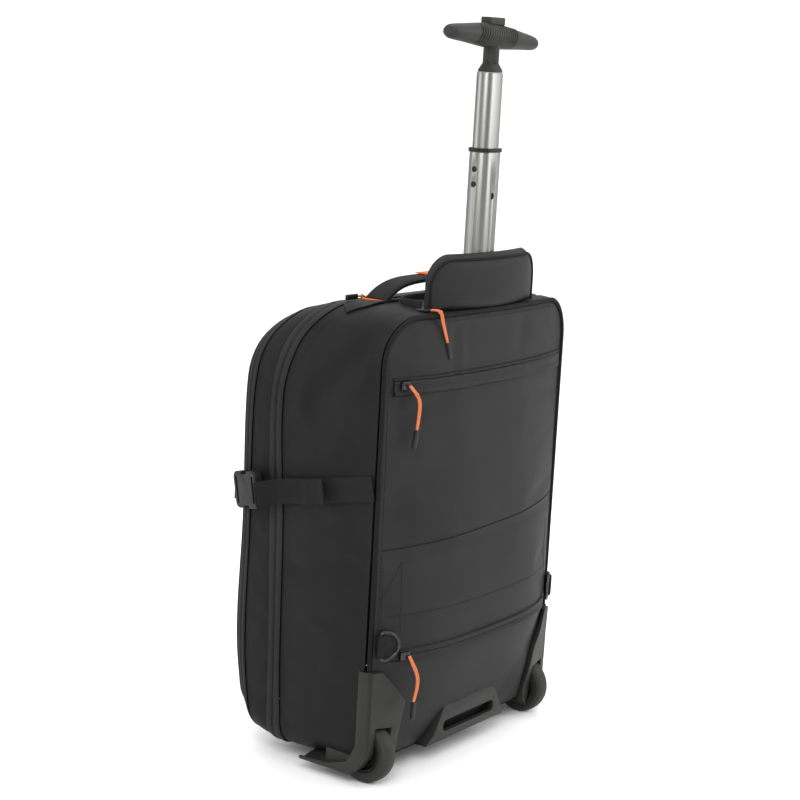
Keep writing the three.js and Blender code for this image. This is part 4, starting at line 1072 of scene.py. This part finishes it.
lead = [
    (3.2, 0.9), (14, 1.6), (30, 1.8), (52, 1.8), (75, 1.8), (96, 2.0), (107, 2.9), (122, 8.4), (137, 13.9),
]
tail = [
    (138, 17.0), (122, 10.9), (108, 6.0), (99, 5.3), (92, 9.4), (85, 12.6), (76, 9.2), (68, 9.6), (60, 14.4),
    (55, 17.6),
]
path = [p for part in (lead, tail) for p in splined([sideSpot(at, out) for at, out in part], 5)]
across = (0, math.sin(turn), math.cos(turn))
sideStrap = strapPiece("webbing_side_strap_left", path, across, strap["wide"], strap["thick"])
pairPieces(sideStrap, "webbing_side_strap", "webbing", "side_strap")

level = 291.4
spots = [(-172, 190.5), (-166, 187.5), (-160, 184)]
frontPath = [toFrame(x, y, level) for x, y in spots]
for x in (-152, -146, -139, -132, -125):
    hit = meets("front", (x * mm, 0.4, level * mm), (0, -1, 0), toFrame(x, 186, level))
    frontPath.append(tuple(hit + Vector((0, 1.3 * mm, 0))))
frontStrap = strapPiece("webbing_front_strap_left", splined(frontPath, 4), (0, 0, 1), strap["wide"],
                        strap["thick"])
pairPieces(frontStrap, "webbing_front_strap", "webbing", "front_strap")
print("straps made")

# D-rings of bent wire, each on a loop of webbing beside the piping
ring = {"tall": 34, "reach": 25, "wire": 1.9, "level": 156, "inset": 9, "turn": 27}
ringX = ring["inset"] - bag["half"]
ringY = domeAt(ringX, ring["level"]) - 4.6
swing = -math.radians(ring["turn"])


def ringSpot(x, y, z):
    return toFrame(ringX + x * math.cos(swing) - y * math.sin(swing),
                   ringY + x * math.sin(swing) + y * math.cos(swing), ring["level"] + z)


half, reach, bend = ring["tall"] / 2 - ring["wire"], ring["reach"] - 2 * ring["wire"], 3.0
wire = [ringSpot(0, 0, -half + bend + (2 * half - 2 * bend) * k / 8) for k in range(9)]
wire += [ringSpot(bend * (1 - math.cos(a)), 0, half - bend + bend * math.sin(a))
         for a in (math.pi / 2 * k / 6 for k in range(1, 6))]
wire += [ringSpot(bend + (reach - bend) * math.cos(a), 0, half * math.sin(a))
         for a in (math.pi / 2 - math.pi * k / 28 for k in range(29))]
wire += [ringSpot(bend * (1 - math.sin(a)), 0, -half + bend - bend * math.cos(a))
         for a in (math.pi / 2 * k / 6 for k in range(1, 6))]
ringWire = tubePiece("wire_d_ring_left", wire, ring["wire"] * mm, sides=12, closed=True)
loopPath = [(-4.2, 3.3), (-2, 3.5)]
loopPath += [(3.4 * math.sin(a), 3.4 * math.cos(a)) for a in (math.pi * k / 14 for k in range(15))]
loopPath += [(-2.0, -2.9), (-3.4, -1.2)]
loop = strapPiece("webbing_ring_loop_left", [ringSpot(x, y, 0) for x, y in loopPath], (0, 0, 1), 24, 1.5)
pairPieces(ringWire, "wire_d_ring", "steel", "d_ring", smooth=60)
pairPieces(loop, "webbing_ring_loop", "webbing", "d_ring_loop")
print("rings made")

# hard pieces carried over with rounded edges; each housing's skid turns in under the bag as a tray
trayAcross = [(177.2, 0), (172, 0.12), (164, 0.5), (154, 0.95), (142, 1)]
trayTops = [(2, 27), (12, 26.5), (20, 25), (30, 21.5), (42, 17.6), (60, 16.6), (76, 15.6)]
roundedPart("grab_plate", "moulded_grab_plate", "abs", 0.0018, 3, 30)
for name in ("left", "right"):
    housing = roundedPart(f"wheel_housing_{name}", f"moulded_wheel_housing_{name}", "abs", 0.0016, 3, 34)
    side = -1 if name == "left" else 1
    tray = gridPiece("skid_tray", [[toFrame(side * x, y, top + (19.3 - top) * s) for x, s in trayAcross]
                                   for y, top in trayTops])
    tray.data.materials.append(finishes["abs"])
    joined(housing.name, [housing, addModifier(tray, "SOLIDIFY", thickness=0.0016, offset=0)])
    roundedPart(f"front_foot_{name}", f"moulded_front_foot_{name}", "footRubber", 0.0012, 3, 30)
for node, made, finish, edge, steps, angle in (
        ("trolley_bezel", "moulded", "absDark", 0.0005, 2, 40),
        ("outer_stage", "drawn", "aluminium", 0.0003, 2, 42),
        ("inner_stage", "drawn", "aluminium", 0.0003, 2, 42),
        ("outer_collar", "moulded", "absDark", 0.0005, 2, 42),
        ("stage_rivet_high", "moulded", "absDark", 0.0003, 2, 50),
        ("stage_rivet_low", "moulded", "absDark", 0.0003, 2, 50),
        ("push_button", "moulded", "gripPlastic", 0.0012, 3, 40),
        ("trolley_channel", "plain", "steel", 0.0002, 1, 50),
        ("axle_left", "plain", "steel", 0.0002, 1, 50),
        ("axle_right", "plain", "steel", 0.0002, 1, 50)):
    roundedPart(node, f"{made}_{node}", finish, edge, steps, angle)
print("rounded parts made")


# lathe work: a half section turned about the axle
wheel = {"spot": (153, 10, 33), "radius": 33, "wide": 20, "hubWide": 18, "bore": 3.4}


def turnedPiece(name, section, steps=64):
    x, y, z = toFrame(*wheel["spot"])
    ob = meshPiece(name, [(x + along * mm, y, z + radius * mm) for radius, along in section], [])
    ob.data.edges.add(len(section))
    for i, e in enumerate(ob.data.edges):
        e.vertices = (i, (i + 1) % len(section))
    activate(ob)
    bpy.ops.object.mode_set(mode="EDIT")
    bpy.ops.mesh.select_all(action="SELECT")
    bpy.ops.mesh.spin(steps=steps, angle=2 * math.pi, center=(x, y, z), axis=(1, 0, 0))
    bpy.ops.object.mode_set(mode="OBJECT")
    return facesOut(ob)


half = wheel["wide"] / 2
tyreSection = [(21.3, -half * 0.88)]
for k in range(13):
    a = -math.pi / 2 + math.pi * k / 12
    tyreSection.append((wheel["radius"] - 6 + 6 * abs(math.cos(a)) ** 0.7,
                        half * math.copysign(abs(math.sin(a)) ** 0.8, a)))
tyreSection += [(26, half * 0.98), (21.3, half * 0.88), (21.3, 0)]
tyreSection.insert(1, (26, -half * 0.98))
h = wheel["hubWide"] / 2
hubHalf = [(wheel["bore"], h), (7, h), (7.6, h * 0.9), (8, h * 0.42), (15.5, h * 0.36), (17.8, h * 0.6),
           (18.4, h * 0.95), (20.4, h), (20.9, h * 0.9)]
hubSection = [(radius, -along) for radius, along in hubHalf] + hubHalf[::-1]
for kind, section, finish in (("tyre", tyreSection, "tyreRubber"), ("hub", hubSection, "absDark")):
    right = turnedPiece(f"turned_{kind}_right", section)
    left = otherSide(right, f"turned_{kind}_left")
    for ob, name in ((right, "right"), (left, "left")):
        finishPiece(ob, finish, [f"{kind}_{name}"], smooth=50)
print("wheels made")


# a bar drawn out of one circle, station by station
def drawnBar(name, stations, sides=32):
    first = stations[0]
    bpy.ops.mesh.primitive_circle_add(vertices=sides, radius=1, fill_type="NGON",
                                      rotation=(0, math.pi / 2, 0))
    ob = bpy.context.active_object
    ob.name = ob.data.name = name
    ob.location = first["at"]
    ob.scale = (first["high"], first["deep"], 1)
    bakePlace(ob)
    bpy.ops.object.mode_set(mode="EDIT")
    bpy.ops.mesh.select_all(action="SELECT")
    for was, now in zip(stations, stations[1:]):
        step = Vector(now["at"]) - Vector(was["at"])
        bpy.ops.mesh.extrude_region_move(TRANSFORM_OT_translate={"value": tuple(step)})
        bpy.ops.transform.resize(value=(1, now["deep"] / was["deep"], now["high"] / was["high"]),
                                 center_override=now["at"])
    bpy.ops.mesh.select_all(action="SELECT")
    bpy.ops.mesh.normals_make_consistent(inside=False)
    bpy.ops.object.mode_set(mode="OBJECT")
    return ob


grip = {"half": 82, "level": 784, "tall": 29, "deep": 26, "droop": 1.5, "tilt": 2.5, "axis": 8}
shape = [(-1, 0.22, 0.3), (-0.992, 0.36, 0.5), (-0.975, 0.45, 0.62), (-0.94, 0.52, 0.72), (-0.85, 0.58, 0.8),
         (-0.68, 0.65, 0.86), (-0.54, 0.72, 0.9), (-0.42, 0.78, 0.94), (-0.3, 0.84, 0.96), (-0.2, 0.88, 0.98),
         (-0.08, 0.9, 1)]
shape += [(-at, high, deep) for at, high, deep in shape[::-1]]
stations = []
for at, high, deep in shape:
    rise = -grip["droop"] * at ** 2 - at * grip["half"] * math.sin(math.radians(grip["tilt"]))
    stations.append({"at": toFrame(at * grip["half"], grip["axis"], grip["level"] + rise),
                     "high": high * grip["tall"] / 2 * mm, "deep": deep * grip["deep"] / 2 * mm})
bar = drawnBar("moulded_t_grip", stations)
axis = toFrame(0, grip["axis"], 0)
pocket = {"size": (31 * mm, 14 * mm, 16 * mm), "level": 800 * mm}
bpy.ops.mesh.primitive_cube_add(size=1, location=(axis[0], axis[1], pocket["level"]))
cutter = bpy.context.active_object
cutter.scale = pocket["size"]
bakePlace(cutter)
addModifier(bar, "BOOLEAN", object=cutter, operation="DIFFERENCE", solver="EXACT")
bpy.data.objects.remove(cutter)
bpy.ops.mesh.primitive_cylinder_add(vertices=40, radius=8.6 * mm, depth=24 * mm,
                                    location=(axis[0], axis[1], 768 * mm))
neck = bakePlace(bpy.context.active_object)
bpy.ops.mesh.primitive_cone_add(vertices=48, radius1=17.1 * mm, radius2=9.4 * mm, depth=9.6 * mm,
                                location=(axis[0], axis[1], 753.5 * mm))
cone = bpy.context.active_object
cone.scale = (1, 0.64, 1)
bakePlace(cone)
bpy.ops.mesh.primitive_cylinder_add(vertices=48, radius=17.1 * mm, depth=2.4 * mm,
                                    location=(axis[0], axis[1], 747.6 * mm))
foot = bpy.context.active_object
foot.scale = (1, 0.64, 1)
bakePlace(foot)
parts = [bar, neck, cone, foot]
for k in range(16):
    x = -36 + 4.4 * k
    points = []
    for m in range(7):
        a = math.radians(-62 + 124 * m / 6)
        tall = 0.5 * grip["tall"] * (0.9 - 0.3 * min(abs(x) / 82, 1))
        points.append(toFrame(x + 3.5 * math.sin(a), grip["axis"] - grip["deep"] / 2 * 0.985 * math.cos(a),
                              grip["level"] - x * math.sin(math.radians(grip["tilt"])) + tall * math.sin(a)))
    parts.append(tubePiece(f"rib_{k}", points, 0.75 * mm, sides=6))
tgrip = joined("moulded_t_grip", parts)
finishPiece(tgrip, "gripPlastic", ["t_grip"], smooth=45)
print("grip made")

# buckles: the fastened halves as one rounded block each
for name in ("left", "right"):
    roundedPart(f"buckle_{name}", f"moulded_buckle_{name}", "absDark", 0.0016, 3, 30)

# rounded zip sliders, orange pullers of two strands and a wrap, and moulded tips
pulls = {
    "upper": {"from": (-146, None, 429.2), "steps": [(11, -5, -17), (9, -5, -46)]},
    "lower": {"from": (-136, None, 142.5), "steps": [(6, -8, -24), (1, -8, -48)]},
    "hood": {"from": (-103, -5.7, 502.8), "steps": [(2, -10, -1), (6, -12, -14), (17, -11, -34)]},
    "main": {"from": (-90.3, 91, 504.5), "steps": [(-6, 0, 1), (-12, 0, 1)]},
}
cord = {"stand": 8.5, "strand": 1.15, "wrap": 2.2, "wrapHalf": 0.9, "leastDeclared": 0.03}
for name, pull in pulls.items():
    roundedPart(f"{name}_zip_slider", f"cast_{name}_slider", "steel", 0.0006, 3, 40)
    tip = roundedPart(f"{name}_pull_tip", f"moulded_{name}_tip", "absDark", 0.0014, 3, 40)
    x, y, z = pull["from"]
    if y is None:
        y = domeAt(x - 2, z) - cord["stand"]
    start = Vector((x, y, z))
    knots = [start] + [start + Vector(step) for step in pull["steps"]]
    line = [Vector(toFrame(*p)) for p in splined(knots, 8)]
    strands = []
    for way in (-1, 1):
        apart = []
        for k, p in enumerate(line):
            spread = 0.3 + 0.95 * math.sin(math.pi * min(1, 0.08 + k / len(line))) ** 0.4
            apart.append(p + Vector((way * spread * mm, 0, 0)))
        strands.append(tubePiece("strand", apart, cord["strand"] * mm, sides=10))
    knot = len(line) // 3
    reach = (line[knot + 1] - line[knot]).normalized() * cord["wrapHalf"] * mm
    strands.append(tubePiece("wrap", [line[knot] - reach, line[knot] + reach], cord["wrap"] * mm, sides=14))
    cordTube = joined(f"braided_{name}_cord", strands)
    finishPiece(cordTube, "orangeCord", [f"{name}_pull_cord"], smooth=60)
print("pulls made")

# dark seam lines: the turned-in edge of cloth below each zip strip, and across the middle of the panel; their
# dark colour is painted shade standing in for the shadow in the seam grooves
seamShadeLines = [((-162, 418.4), (162, 418.4)), ((-150, 136.4), (150, 136.4)), ((-166, 257), (166, 269)),
             ((-162, 436.6), (162, 436.6))]
seams = []
for a, b in seamShadeLines:
    spots = [Vector(a).lerp(Vector(b), k / 90) for k in range(91)]
    seams.append(tubePiece("seam", [onPanel(p.x, p.y, 0.25) for p in spots], 0.5 * mm, sides=6))
# the tubes are real seam edges, but their dark binding colour is painted groove shade
finishPiece(joined("turned_seam_edges", seams), "bindingTape", body="bag")
print("seam lines made")


# pale floor that sweeps up far behind the bag
def sweptFloor():
    azimuth = math.radians(camera["azimuth"])
    view = Vector((-math.sin(azimuth), math.cos(azimuth), 0))
    side = Vector((view.y, -view.x, 0))
    profile = [(-6, 0), (2.6, 0)]
    profile += [(2.6 + 2 * math.sin(a), 2 - 2 * math.cos(a))
                for a in (math.pi / 2 * k / 24 for k in range(1, 25))]
    profile += [(4.6, 7)]
    points = []
    for s in (-7, 7):
        points += [tuple(view * d + side * s + Vector((0, 0, z))) for d, z in profile]
    count = len(profile)
    faces = [(k, k + 1, count + k + 1, count + k) for k in range(count - 1)]
    ob = meshPiece("studio_floor", points, faces)
    mat, tree, shader = newMaterial("matte_paper_floor", Roughness=0.9)
    spot = addNode(tree, "ShaderNodeTexCoord")
    fibre = addNode(tree, "ShaderNodeTexNoise", {"Scale": 3.0, "Detail": 2.0}, i0=(spot, "Object"))
    paint(tree, shader, "f6f6f6", "fafafa", fibre)
    ob.data.materials.append(mat)
    activate(ob)
    bpy.ops.object.shade_smooth()
    return ob


floor = sweptFloor()
areaLight("backdrop_wash", (1.0, -0.2, 3.4), (3.3, 2.4, 0.8), (3.2, 1.2), 60)
